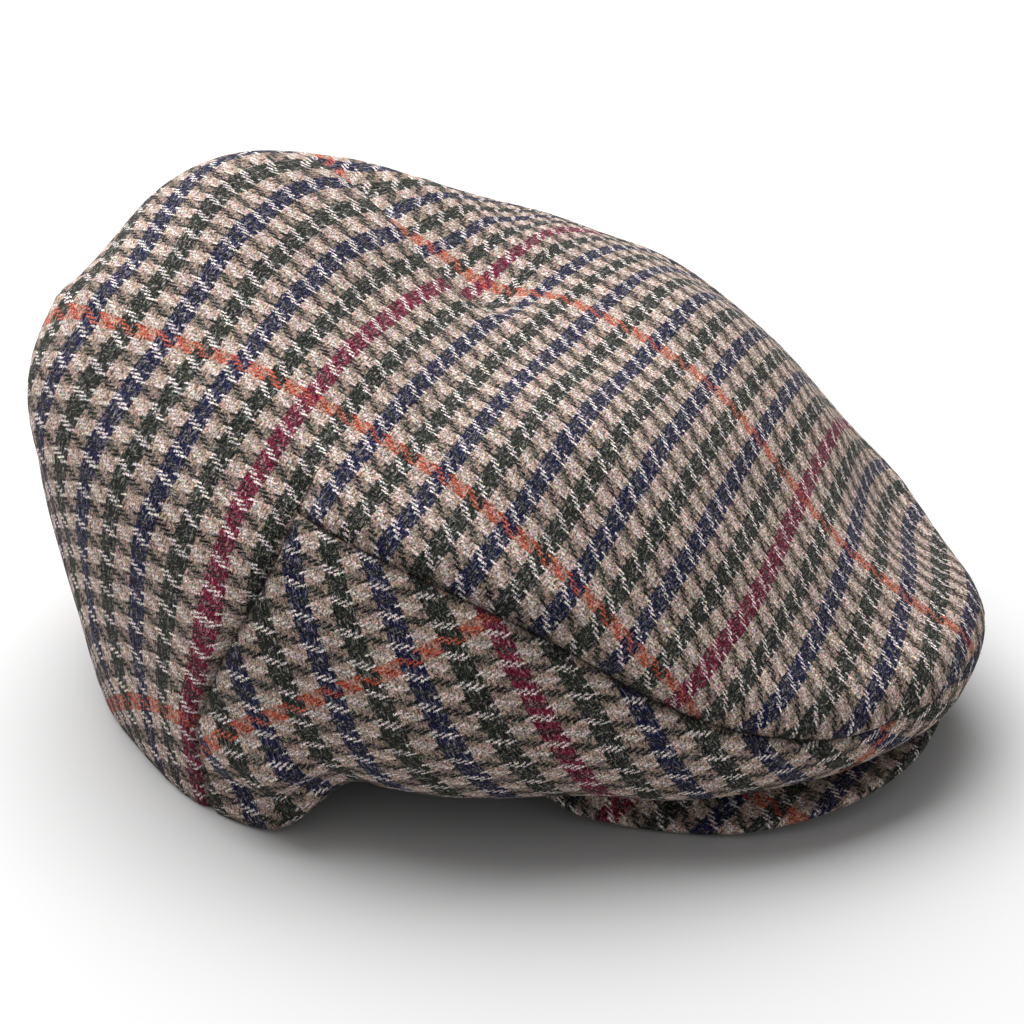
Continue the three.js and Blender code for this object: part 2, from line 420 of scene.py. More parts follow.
@dataclass(frozen=True)
class Guide:
    place: tuple[float, float]
    across: float | None = None
    along: float | None = None
    firmness: float = 1.0


def thread_line(places: tuple, across: float | None = None, along: float | None = None,
                firmness: float = 1.0) -> list[Guide]:
    """Guides along one line of the check.

    Args:
        places: Rows of the place along the line (None where it isn't known), bearing and height share.
        across: The line's place across the warp, for a warp line.
        along: The line's place along the warp, for a weft line.
        firmness: How firmly the guides hold.

    Returns:
        A guide for each row.
    """
    guides = []
    for at, bearing, height in places:
        if across is not None:
            guides.append(Guide((bearing, height), across, at, firmness))
        else:
            guides.append(Guide((bearing, height), at, along, firmness))
    return guides


@dataclass(frozen=True)
class ClothLay:
    """Lays the flat check on a curved panel with the least stretch, through places where it is known."""

    across_pitch: float = 8.5  # one light and one dark stripe of the warp
    along_pitch: float = 10.7  # one light and one dark stripe of the weft
    hold: float = 5.0
    stiffness: float = 200.0  # against sudden changes of stretch, in square millimetres
    slack: float = 1e-3  # share of the stretch that steadies the first guess
    near_faces: int = 12  # faces tried round each guide
    rounds: int = 160
    turn: float = -1.0  # whether across and along turn the same way as seen from outside

    def lay(self, points: np.ndarray, triangles: np.ndarray, guides: list[Guide], spots: np.ndarray,
            edge: np.ndarray) -> np.ndarray:
        """Finds the place in the check at each vertex.

        Args:
            points: Vertices of the panel.
            triangles: Its faces, anticlockwise seen from outside.
            spots: The guides' points on the panel.
            edge: Numbers of the vertices on the panel's edge.

        Returns:
            Two values for each vertex: across and along, in repeats.
        """
        count = len(points)
        origin = points[triangles[:, 0]]
        first, second = points[triangles[:, 1]] - origin, points[triangles[:, 2]] - origin
        normal = np.cross(first, second)
        area = np.linalg.norm(normal, axis=1) / 2
        x_axis = first / np.linalg.norm(first, axis=1, keepdims=True)
        y_axis = np.cross(normal / (2 * area[:, None]), x_axis) * self.turn
        corners = np.stack([
            np.stack([(first * x_axis).sum(1), (second * x_axis).sum(1)], axis=1),
            np.stack([(first * y_axis).sum(1), (second * y_axis).sum(1)], axis=1),
        ], axis=1)
        inverse = np.linalg.inv(corners)
        slopes = np.concatenate([-inverse.sum(1, keepdims=True), inverse], axis=1)

        stretch = np.zeros((count, count))
        mass = np.zeros(count)
        for a in range(3):
            np.add.at(mass, triangles[:, a], area / 3)
            for b in range(3):
                product = area * (slopes[:, a] * slopes[:, b]).sum(1)
                np.add.at(stretch, (triangles[:, a], triangles[:, b]), product)
        inner = np.setdiff1d(np.arange(count), edge)
        bend = stretch[inner].T @ (stretch[inner] / mass[inner, None])

        holders = self._holders(points, triangles, inverse, x_axis, y_axis, spots)
        pitches = (self.across_pitch, self.along_pitch)
        solvers, pulls, place = [], [], np.zeros((count, 2))
        for axis, pitch in enumerate(pitches):
            known = [guide.across if axis == 0 else guide.along for guide in guides]
            rows = [k for k, value in enumerate(known) if value is not None]
            grip = self.hold * np.array([guides[k].firmness for k in rows])
            wanted = np.array([known[k] for k in rows]) * pitch
            held = holders[rows]
            matrix = self.stiffness * bend + held.T @ (grip[:, None] * held)
            pull = held.T @ (grip * wanted)
            place[:, axis] = np.linalg.solve(matrix + self.slack * stretch, pull)
            solvers.append(np.linalg.inv(matrix + stretch))
            pulls.append(pull)
        for _ in range(self.rounds):
            slope = np.einsum("tka,tkb->tab", place[triangles], slopes)
            angle = np.arctan2(slope[:, 1, 0] - slope[:, 0, 1], slope[:, 0, 0] + slope[:, 1, 1])
            cosine, sine = np.cos(angle), np.sin(angle)
            turned = (np.stack([cosine, -sine], axis=1), np.stack([sine, cosine], axis=1))
            for axis in range(2):
                push = pulls[axis].copy()
                for k in range(3):
                    np.add.at(push, triangles[:, k], area * (turned[axis] * slopes[:, k]).sum(1))
                place[:, axis] = solvers[axis] @ push
        return place / np.array(pitches)

    def _holders(self, points: np.ndarray, triangles: np.ndarray, inverse: np.ndarray, x_axis: np.ndarray,
                 y_axis: np.ndarray, spots: np.ndarray) -> np.ndarray:
        """Weighs the vertices at each spot.

        Args:
            points: Vertices of the panel.
            triangles: Its faces.
            inverse: For each face, what turns a place in its own plane into weights.
            x_axis: Each face's first axis.
            y_axis: Each face's second axis.
            spots: Points on the panel.

        Returns:
            One row for a spot, with a weight for each vertex.
        """
        held = np.zeros((len(spots), len(points)))
        centres = points[triangles].mean(1)
        for row, spot in enumerate(spots):
            best = None
            for face in np.argsort(((centres - spot) ** 2).sum(1))[:self.near_faces]:
                offset = spot - points[triangles[face, 0]]
                weights = inverse[face] @ np.array([offset @ x_axis[face], offset @ y_axis[face]])
                weights = np.array([1 - weights.sum(), *weights])
                if best is None or weights.min() > best[1].min():
                    best = (face, weights)
            held[row, triangles[best[0]]] = best[1]
        return held


# ---------------------------------------------------------------- finishes


class Yarn(Enum):
    """Colours of the spun wool, as the eye takes them under a bright lamp."""

    CREAM = "#DED7D3"
    TAN = "#A79284"
    GREEN = "#212822"
    CHARCOAL = "#131719"
    NAVY = "#0D153B"
    CRIMSON = "#6E1434"
    ORANGE = "#B04B30"
    SHADE = "#463830"  # between the fibres
    TIP = "#E2DAD4"  # pale fibre ends
    HAIR = "#CDBFB4"  # loose hairs on the surface


@dataclass(frozen=True)
class WoollenTwill:
    """Brushed woollen two-and-two twill, four threads light and four dark each way: a small hound's-tooth.

    The raised surface scatters light evenly, so it has no gloss, only a faint halo where fibres stand up.
    The fluffy weft spreads and colours whole rows; the hard-spun warp shows as thin strokes slanting over it.
    """

    name: str
    threads: int = 8  # in one repeat, each way
    roughness: float = 0.95
    sheen: float = 0.04
    sheen_roughness: float = 0.5
    warp_light: float = 0.72  # share of a thread's room that a light warp thread covers
    warp_dark: float = 0.8  # and a dark or bright one
    dark_row_cover: float = 0.68  # how much of that is left over a dark row, whose weft is fuller
    felted: float = 0.38  # how far the light warp sinks into a light row's nap
    dark_shed: float = 0.36  # how far loose fibres of the dark and bright warp tint a light row under it
    hair_grain: float = 1.3  # size of the curls of loose hair on top, in millimetres
    hair_width: float = 0.02  # half of a hair's width, as a step in the noise
    hair_cover: float = 0.16
    hair_break: float = 0.48  # height of a second noise under which a hair is out of sight
    tip_cover: float = 0.3  # how pale the fibre ends make the cloth
    gap_depth: float = 0.82  # and how dark the gaps between fibres
    thread_relief: float = 0.3  # depth of the surface's relief, in millimetres
    back_relief: float = 2.4  # share of it from a thread's round back, by the square of the place across
    fibre_relief: float = 1.2  # from the fibre bundles
    speck_relief: float = 0.8  # and from the specks
    edge_fuzz: float = 0.048  # how far the nap blurs a thread's edge, in repeats
    fuzz_grain: float = 0.48  # size of a tuft of nap, in millimetres
    drift: float = 0.025  # slow wander of the threads, in repeats
    drift_grain: float = 12.0  # length of that wander, in millimetres
    speck_grain: float = 0.5  # size of a speck of mixed-in fibre, in millimetres
    speck_depth: float = 3.7  # contrast of the specks
    speck_tint: float = 0.35  # share of it that changes the tint
    cloud_grain: float = 28.0  # size of the slow changes of depth, in millimetres
    seam_shade: float = 0.7  # painted shade: how much darker the cloth is drawn on a seam and a hem, where the groove falls in shade
    darkest: float = 0.12  # share of its colour that the deepest gap keeps
    fibre_grain: float = 0.42  # width of a bundle of fibres, in millimetres
    fibre_length: float = 4.0  # times its width

    def material(self) -> bpy.types.Material:
        """Builds the material.

        Returns:
            A material that reads the piece's cloth map and its distance from a seam.
        """
        made = bpy.data.materials.new(self.name)
        made.use_nodes = True
        tree = made.node_tree
        tree.nodes.clear()
        place = add_node(tree, "ShaderNodeUVMap", {"uv_map": CLOTH_MAP}).outputs["UV"]
        solid = add_node(tree, "ShaderNodeTexCoord").outputs["Object"]
        blurred = self._blur(tree, place, solid)
        threads = add_node(tree, "ShaderNodeVectorMath", {"operation": "SCALE"},
                           {0: blurred, "Scale": float(self.threads)}).outputs[0]
        index = add_node(tree, "ShaderNodeVectorMath", {"operation": "FLOOR"}, {0: threads}).outputs[0]
        from_middle = self._from_middle(tree, threads)
        warp, weft, warp_is_light, weft_is_light = self._stripes(tree, index)
        both_light = add_node(tree, "ShaderNodeMath", {"operation": "MULTIPLY"},
                              {0: warp_is_light, 1: weft_is_light}).outputs[0]
        plain = add_node(tree, "ShaderNodeMath", {"operation": "MULTIPLY_ADD"},
                         {0: both_light, 1: -self.felted, 2: 1.0}).outputs[0]
        crossing = self._interlacing(tree, index, from_middle, warp_is_light, weft_is_light)
        warp_up = add_node(tree, "ShaderNodeMath", {"operation": "MULTIPLY"},
                           {0: crossing, 1: plain}).outputs[0]
        shed = add_node(tree, "ShaderNodeMath", {"operation": "MULTIPLY_ADD"},
                        {0: warp_is_light, 1: -self.dark_shed, 2: self.dark_shed}).outputs[0]
        shed = add_node(tree, "ShaderNodeMath", {"operation": "MULTIPLY"},
                        {0: shed, 1: weft_is_light}).outputs[0]
        warp_up = add_node(tree, "ShaderNodeMath", {"operation": "MAXIMUM"}, {0: warp_up, 1: shed}).outputs[0]
        woven = add_node(tree, "ShaderNodeMix", {"data_type": "RGBA"},
                         {0: warp_up, 6: weft, 7: warp}).outputs[2]
        fibres = self._fibres(tree, place, crossing)
        specks = self._noise(tree, solid, self.speck_grain, 1.5)
        colour = self._heather(tree, woven, fibres, specks, solid)
        hairs = self._hairs(tree, solid)
        colour = add_node(tree, "ShaderNodeMix", {"data_type": "RGBA"},
                          {0: hairs, 6: colour, 7: linear(Yarn.HAIR.value)}).outputs[2]
        height = self._height(tree, from_middle, crossing, fibres, specks)
        bump = add_node(tree, "ShaderNodeBump", {}, {
            "Strength": 0.9, "Distance": self.thread_relief * MM, "Height": height})
        shader = add_node(tree, "ShaderNodeBsdfPrincipled", {}, {
            "Base Color": colour, "Roughness": self.roughness, "IOR": 1.45,
            "Specular IOR Level": 0.12, "Sheen Weight": self.sheen,
            "Sheen Roughness": self.sheen_roughness, "Sheen Tint": linear("#F4EEE6"),
            "Normal": bump.outputs["Normal"]})
        add_node(tree, "ShaderNodeOutputMaterial", {}, {"Surface": shader.outputs[0]})
        return made

    def _noise(self, tree: Tree, place: Socket, grain: float, detail: float) -> bpy.types.Node:
        """A noise through the solid piece, with grains of a size in millimetres."""
        return add_node(tree, "ShaderNodeTexNoise", {"noise_dimensions": "3D"}, {
            "Vector": place, "Scale": 1 / (grain * MM), "Detail": detail, "Roughness": 0.6})

    def _blur(self, tree: Tree, place: Socket, solid: Socket) -> Socket:
        """Moves the place in the check a little, by tufts of nap and by the slow wander of the threads.

        Args:
            tree: Node tree to add to.
            place: Place in the check.
            solid: Place in the solid piece.

        Returns:
            The moved place.
        """
        moved = place
        for grain, reach in ((self.fuzz_grain, self.edge_fuzz), (self.drift_grain, self.drift)):
            noise = self._noise(tree, solid, grain, 2.0)
            centred = add_node(tree, "ShaderNodeVectorMath", {"operation": "SUBTRACT"},
                               {0: noise.outputs["Color"], 1: (0.5, 0.5, 0.5)})
            step = add_node(tree, "ShaderNodeVectorMath", {"operation": "SCALE"},
                            {0: centred.outputs[0], "Scale": 4 * reach})
            moved = add_node(tree, "ShaderNodeVectorMath", {"operation": "ADD"},
                             {0: moved, 1: step.outputs[0]}).outputs[0]
        return moved

    def _from_middle(self, tree: Tree, threads: Socket) -> Socket:
        """Distance from the middle of the warp thread and of the weft thread, 0 to half.

        Args:
            tree: Node tree to add to.
            threads: Place in the check, in threads.

        Returns:
            The two distances, as x and y.
        """
        inside = add_node(tree, "ShaderNodeVectorMath", {"operation": "FRACTION"}, {0: threads})
        centred = add_node(tree, "ShaderNodeVectorMath", {"operation": "SUBTRACT"},
                           {0: inside.outputs[0], 1: (0.5, 0.5, 0)})
        return add_node(tree, "ShaderNodeVectorMath", {"operation": "ABSOLUTE"},
                        {0: centred.outputs[0]}).outputs[0]

    def _interlacing(self, tree: Tree, index: Socket, from_middle: Socket, warp_is_light: Socket,
                     weft_is_light: Socket) -> Socket:
        """Weaves two threads over and two under, stepping one thread each row.

        Args:
            tree: Node tree to add to.
            index: Numbers of the warp and the weft thread.
            from_middle: Distances from the middles of both threads.
            warp_is_light: 1 on a light warp thread.
            weft_is_light: 1 on a light weft thread.

        Returns:
            1 where the warp shows and 0 where the weft does.
        """
        parts = add_node(tree, "ShaderNodeSeparateXYZ", {}, {0: index})
        total = add_node(tree, "ShaderNodeMath", {"operation": "ADD"},
                         {0: parts.outputs[0], 1: parts.outputs[1]})
        step = add_node(tree, "ShaderNodeMath", {"operation": "FLOORED_MODULO"},
                        {0: total.outputs[0], 1: 4.0})
        over = add_node(tree, "ShaderNodeMath", {"operation": "GREATER_THAN"},
                        {0: step.outputs[0], 1: 1.5}).outputs[0]
        half = add_node(tree, "ShaderNodeMix", {"data_type": "FLOAT"},
                        {0: warp_is_light, 2: self.warp_dark / 2, 3: self.warp_light / 2}).outputs[0]
        room = add_node(tree, "ShaderNodeMix", {"data_type": "FLOAT"},
                        {0: weft_is_light, 2: self.dark_row_cover, 3: 1.0}).outputs[0]
        half = add_node(tree, "ShaderNodeMath", {"operation": "MULTIPLY"}, {0: half, 1: room}).outputs[0]
        away = add_node(tree, "ShaderNodeSeparateXYZ", {}, {0: from_middle})
        within = add_node(tree, "ShaderNodeMath", {"operation": "LESS_THAN"}, {0: away.outputs[0], 1: half})
        return add_node(tree, "ShaderNodeMath", {"operation": "MULTIPLY"},
                        {0: over, 1: within.outputs[0]}).outputs[0]

    def _stripes(self, tree: Tree, index: Socket) -> list[Socket]:
        """Colours of the warp and the weft, light and dark in fours, and whether each is light.

        Dark stripes take turns between two colours, and every twelfth is a bright line.

        Args:
            tree: Node tree to add to.
            index: Numbers of the warp and the weft thread.

        Returns:
            The warp's colour, the weft's colour, and 1 where each is light.
        """
        half = self.threads / 4
        shifted = add_node(tree, "ShaderNodeVectorMath", {"operation": "ADD"}, {0: index, 1: (half, half, 0)})
        within = add_node(tree, "ShaderNodeVectorMath", {"operation": "WRAP"},
                          {0: shifted.outputs[0], 1: (self.threads,) * 3, 2: (0, 0, 0)})
        share = add_node(tree, "ShaderNodeVectorMath", {"operation": "SCALE"},
                         {0: shifted.outputs[0], "Scale": 1 / self.threads})
        repeat = add_node(tree, "ShaderNodeVectorMath", {"operation": "FLOOR"}, {0: share.outputs[0]})
        counted = add_node(tree, "ShaderNodeVectorMath", {"operation": "ADD"},
                           {0: repeat.outputs[0], 1: (0.25, 0.25, 0)})
        splits = [add_node(tree, "ShaderNodeSeparateXYZ", {}, {0: within.outputs[0]})]
        for cycle in (2, 12):
            wrapped = add_node(tree, "ShaderNodeVectorMath", {"operation": "WRAP"},
                               {0: counted.outputs[0], 1: (cycle,) * 3, 2: (0, 0, 0)})
            splits.append(add_node(tree, "ShaderNodeSeparateXYZ", {}, {0: wrapped.outputs[0]}))
        choices = ((Yarn.CREAM, Yarn.GREEN, Yarn.CHARCOAL, Yarn.ORANGE),
                   (Yarn.TAN, Yarn.GREEN, Yarn.NAVY, Yarn.CRIMSON))
        colours, light_here = [], []
        for axis, (light, odd, even, bright) in enumerate(choices):
            dark_here, even_here, bright_here = (
                add_node(tree, "ShaderNodeMath", {"operation": "LESS_THAN"},
                         {0: split.outputs[axis], 1: limit}).outputs[0]
                for split, limit in zip(splits, (self.threads / 2 - 0.5, 1.0, 1.0)))
            dark = add_node(tree, "ShaderNodeMix", {"data_type": "RGBA"},
                            {0: even_here, 6: linear(odd.value), 7: linear(even.value)})
            dark = add_node(tree, "ShaderNodeMix", {"data_type": "RGBA"},
                            {0: bright_here, 6: dark.outputs[2], 7: linear(bright.value)})
            colours.append(add_node(tree, "ShaderNodeMix", {"data_type": "RGBA"},
                                    {0: dark_here, 6: linear(light.value), 7: dark.outputs[2]}).outputs[2])
            light_here.append(add_node(tree, "ShaderNodeMath", {"operation": "SUBTRACT"},
                                       {0: 1.0, 1: dark_here}).outputs[0])
        return [*colours, *light_here]

    def _fibres(self, tree: Tree, place: Socket, warp_up: Socket) -> Socket:
        """Fibre bundles drawn out along whichever thread is on top.

        Args:
            tree: Node tree to add to.
            place: Place in the check.
            warp_up: 1 where the warp shows.

        Returns:
            A noise about 0.5.
        """
        repeat = ClothLay.across_pitch / self.fibre_grain  # bundles across one repeat
        drawn = []
        for along_x, along_y in ((1.0, 1 / self.fibre_length), (1 / self.fibre_length, 1.0)):
            scaled = add_node(tree, "ShaderNodeVectorMath", {"operation": "MULTIPLY"},
                              {0: place, 1: (repeat * along_x, repeat * along_y, 1)})
            drawn.append(add_node(tree, "ShaderNodeTexNoise", {"noise_dimensions": "2D"}, {
                "Vector": scaled.outputs[0], "Scale": 1.0, "Detail": 1.5, "Roughness": 0.55,
                "Distortion": 0.8}).outputs[0])
        return add_node(tree, "ShaderNodeMix", {"data_type": "FLOAT"},
                        {0: warp_up, 2: drawn[1], 3: drawn[0]}).outputs[0]

    def _heather(self, tree: Tree, woven: Socket, fibres: Socket, specks: bpy.types.Node,
                 solid: Socket) -> Socket:
        """Mixed-in fibres: pale tips, brown shade between, specks of other tints, slow changes of depth, and
        painted shade along the seams.

        Args:
            tree: Node tree to add to.
            woven: Colour of the thread on top.
            fibres: Noise of the fibre bundles.
            specks: Noise of the mixed-in fibre.
            solid: Place in the solid piece.

        Returns:
            The colour with its mixture.
        """
        tips = add_node(tree, "ShaderNodeMapRange", {}, {
            "Value": fibres, "From Min": 0.55, "From Max": 0.72, "To Min": 0.0,
            "To Max": self.tip_cover}).outputs[0]
        lit = add_node(tree, "ShaderNodeMix", {"data_type": "RGBA"},
                       {0: tips, 6: woven, 7: linear(Yarn.TIP.value)}).outputs[2]
        gaps = add_node(tree, "ShaderNodeMapRange", {}, {
            "Value": fibres, "From Min": 0.47, "From Max": 0.3, "To Min": 0.0,
            "To Max": self.gap_depth}).outputs[0]
        shaded = add_node(tree, "ShaderNodeMix", {"data_type": "RGBA", "blend_type": "MULTIPLY"},
                          {0: gaps, 6: lit, 7: linear(Yarn.SHADE.value)}).outputs[2]
        spread = self.speck_depth
        tint_depth = spread * self.speck_tint
        tint = add_node(tree, "ShaderNodeVectorMath", {"operation": "MULTIPLY_ADD"}, {
            0: specks.outputs["Color"], 1: (tint_depth,) * 3, 2: (1 - tint_depth / 2,) * 3})
        shaded = add_node(tree, "ShaderNodeVectorMath", {"operation": "MULTIPLY"},
                          {0: shaded, 1: tint.outputs[0]})
        slow = self._noise(tree, solid, self.cloud_grain, 2.0)
        depth = add_node(tree, "ShaderNodeMapRange", {}, {
            "Value": slow.outputs[0], "From Min": 0.3, "From Max": 0.7, "To Min": 0.9,
            "To Max": 1.08}).outputs[0]
        grain = add_node(tree, "ShaderNodeMath", {"operation": "MULTIPLY_ADD"}, {
            0: specks.outputs[0], 1: spread, 2: 1 - spread / 2})
        # painted shade: the cloth is drawn darker along seams and hems, where the grooves fall in shade
        seam = add_node(tree, "ShaderNodeAttribute", {"attribute_name": SEAM_FIELD}).outputs["Fac"]
        seam_shading = add_node(tree, "ShaderNodeMath", {"operation": "MULTIPLY_ADD"},
                         {0: seam, 1: -self.seam_shade, 2: 1.0})
        for factor in (grain, seam_shading):
            depth = add_node(tree, "ShaderNodeMath", {"operation": "MULTIPLY"},
                             {0: depth, 1: factor.outputs[0]}).outputs[0]
        depth = add_node(tree, "ShaderNodeMath", {"operation": "MAXIMUM"},
                         {0: depth, 1: self.darkest}).outputs[0]
        return add_node(tree, "ShaderNodeVectorMath", {"operation": "SCALE"},
                        {0: shaded.outputs[0], "Scale": depth}).outputs[0]

    def _hairs(self, tree: Tree, solid: Socket) -> Socket:
        """Short curled hairs lying loose on the nap: broken contour lines of smooth noises.

        Args:
            tree: Node tree to add to.
            solid: Place in the solid piece.

        Returns:
            How far a hair covers the cloth.
        """
        found = 0.0
        for grain in (self.hair_grain, self.hair_grain * 0.6):
            curl = self._noise(tree, solid, grain, 0.0)
            from_line = add_node(tree, "ShaderNodeMath", {"operation": "SUBTRACT"},
                                 {0: curl.outputs[0], 1: 0.5})
            from_line = add_node(tree, "ShaderNodeMath", {"operation": "ABSOLUTE"}, {0: from_line.outputs[0]})
            line = add_node(tree, "ShaderNodeMapRange", {}, {
                "Value": from_line.outputs[0], "From Min": 0.0, "From Max": self.hair_width,
                "To Min": self.hair_cover, "To Max": 0.0}).outputs[0]
            patch = add_node(tree, "ShaderNodeSeparateXYZ", {}, {0: curl.outputs["Color"]}).outputs[1]
            kept = add_node(tree, "ShaderNodeMath", {"operation": "GREATER_THAN"},
                            {0: patch, 1: self.hair_break}).outputs[0]
            line = add_node(tree, "ShaderNodeMath", {"operation": "MULTIPLY"}, {0: line, 1: kept}).outputs[0]
            found = add_node(tree, "ShaderNodeMath", {"operation": "MAXIMUM"}, {0: found, 1: line}).outputs[0]
        return found

    def _height(self, tree: Tree, from_middle: Socket, warp_up: Socket, fibres: Socket,
                specks: bpy.types.Node) -> Socket:
        """Round backs of the upper threads, roughened by the fibres.

        Args:
            tree: Node tree to add to.
            from_middle: Distances from the middles of both threads.
            warp_up: 1 where the warp shows.
            fibres: Noise of the fibre bundles.
            specks: Noise of the mixed-in fibre.

        Returns:
            The surface's height, in shares of its relief.
        """
        square = add_node(tree, "ShaderNodeVectorMath", {"operation": "MULTIPLY"},
                          {0: from_middle, 1: from_middle})
        parts = add_node(tree, "ShaderNodeSeparateXYZ", {}, {0: square.outputs[0]})
        flat = add_node(tree, "ShaderNodeMix", {"data_type": "FLOAT"},
                        {0: warp_up, 2: parts.outputs[1], 3: parts.outputs[0]}).outputs[0]
        height = add_node(tree, "ShaderNodeMath", {"operation": "MULTIPLY_ADD"},
                          {0: flat, 1: -self.back_relief, 2: self.back_relief / 4}).outputs[0]
        height = add_node(tree, "ShaderNodeMath", {"operation": "MULTIPLY_ADD"},
                          {0: fibres, 1: self.fibre_relief, 2: height}).outputs[0]
        return add_node(tree, "ShaderNodeMath", {"operation": "MULTIPLY_ADD"},
                        {0: specks.outputs[0], 1: self.speck_relief, 2: height}).outputs[0]


# ---------------------------------------------------------------- pieces of cloth


@dataclass
class Shell:
    """Outer face of a piece of cloth, before it gets its thickness."""

    points: np.ndarray
    quads: np.ndarray
    rim: np.ndarray  # vertex numbers round the edge, anticlockwise seen from outside
    cloth: np.ndarray  # place in the check at each vertex
    from_seam: np.ndarray  # distance from the nearest seam
    outward: np.ndarray  # direction of the cloth's thickness at each vertex

    def closed(self, thickness: float) -> tuple[np.ndarray, np.ndarray, np.ndarray, np.ndarray]:
        """Adds the inner face and the rim.

        Args:
            thickness: Of the cloth.

        Returns:
            Points, faces, cloth places and distances from a seam of the closed shell.
        """
        count = len(self.points)
        inner = self.points - self.outward * thickness
        following = np.roll(self.rim, -1)
        band = np.stack([following, self.rim, self.rim + count, following + count], axis=1)
        faces = np.concatenate([self.quads, self.quads[:, ::-1] + count, band])
        return (np.concatenate([self.points, inner]), faces, np.concatenate([self.cloth] * 2),
                np.concatenate([self.from_seam] * 2))


def bilinear(grid: np.ndarray, rows: np.ndarray, columns: np.ndarray) -> np.ndarray:
    """Reads a grid of values between its points.

    Args:
        grid: Values with rows, columns and a last axis.
        rows: Row places, in steps of the grid.
        columns: Column places, in steps of the grid.

    Returns:
        A value for each place.
    """
    low_row = np.clip(np.floor(rows).astype(int), 0, grid.shape[0] - 2)
    low_column = np.clip(np.floor(columns).astype(int), 0, grid.shape[1] - 2)
    r, c = (rows - low_row)[:, None], (columns - low_column)[:, None]
    return ((grid[low_row, low_column] * (1 - r) + grid[low_row + 1, low_column] * r) * (1 - c)
            + (grid[low_row, low_column + 1] * (1 - r) + grid[low_row + 1, low_column + 1] * r) * c)


def mesh_object(name: str, points: np.ndarray, faces: np.ndarray, cloth: np.ndarray,
                from_seam: np.ndarray) -> bpy.types.Object:
    """Makes a smooth mesh object with its cloth map and its distance from a seam.

    Args:
        name: The piece's name.
        points: Vertices in millimetres.
        faces: Vertex numbers of each face.
        cloth: Place in the check at each vertex.
        from_seam: Distance from the nearest seam at each vertex.

    Returns:
        The object, at the origin.
    """
    mesh = bpy.data.meshes.new(name)
    mesh.from_pydata((points * MM).tolist(), [], [list(map(int, face)) for face in faces])
    layer = mesh.uv_layers.new(name=CLOTH_MAP)
    corners = np.zeros(len(mesh.loops), int)
    mesh.loops.foreach_get("vertex_index", corners)
    layer.data.foreach_set("uv", cloth[corners].ravel())
    near = mesh.attributes.new(SEAM_FIELD, "FLOAT", "POINT")
    near.data.foreach_set("value", np.exp(-from_seam / SEAM_REACH))
    mesh.shade_smooth()
    mesh.update()
    made = bpy.data.objects.new(name, mesh)
    bpy.context.scene.collection.objects.link(made)
    return made


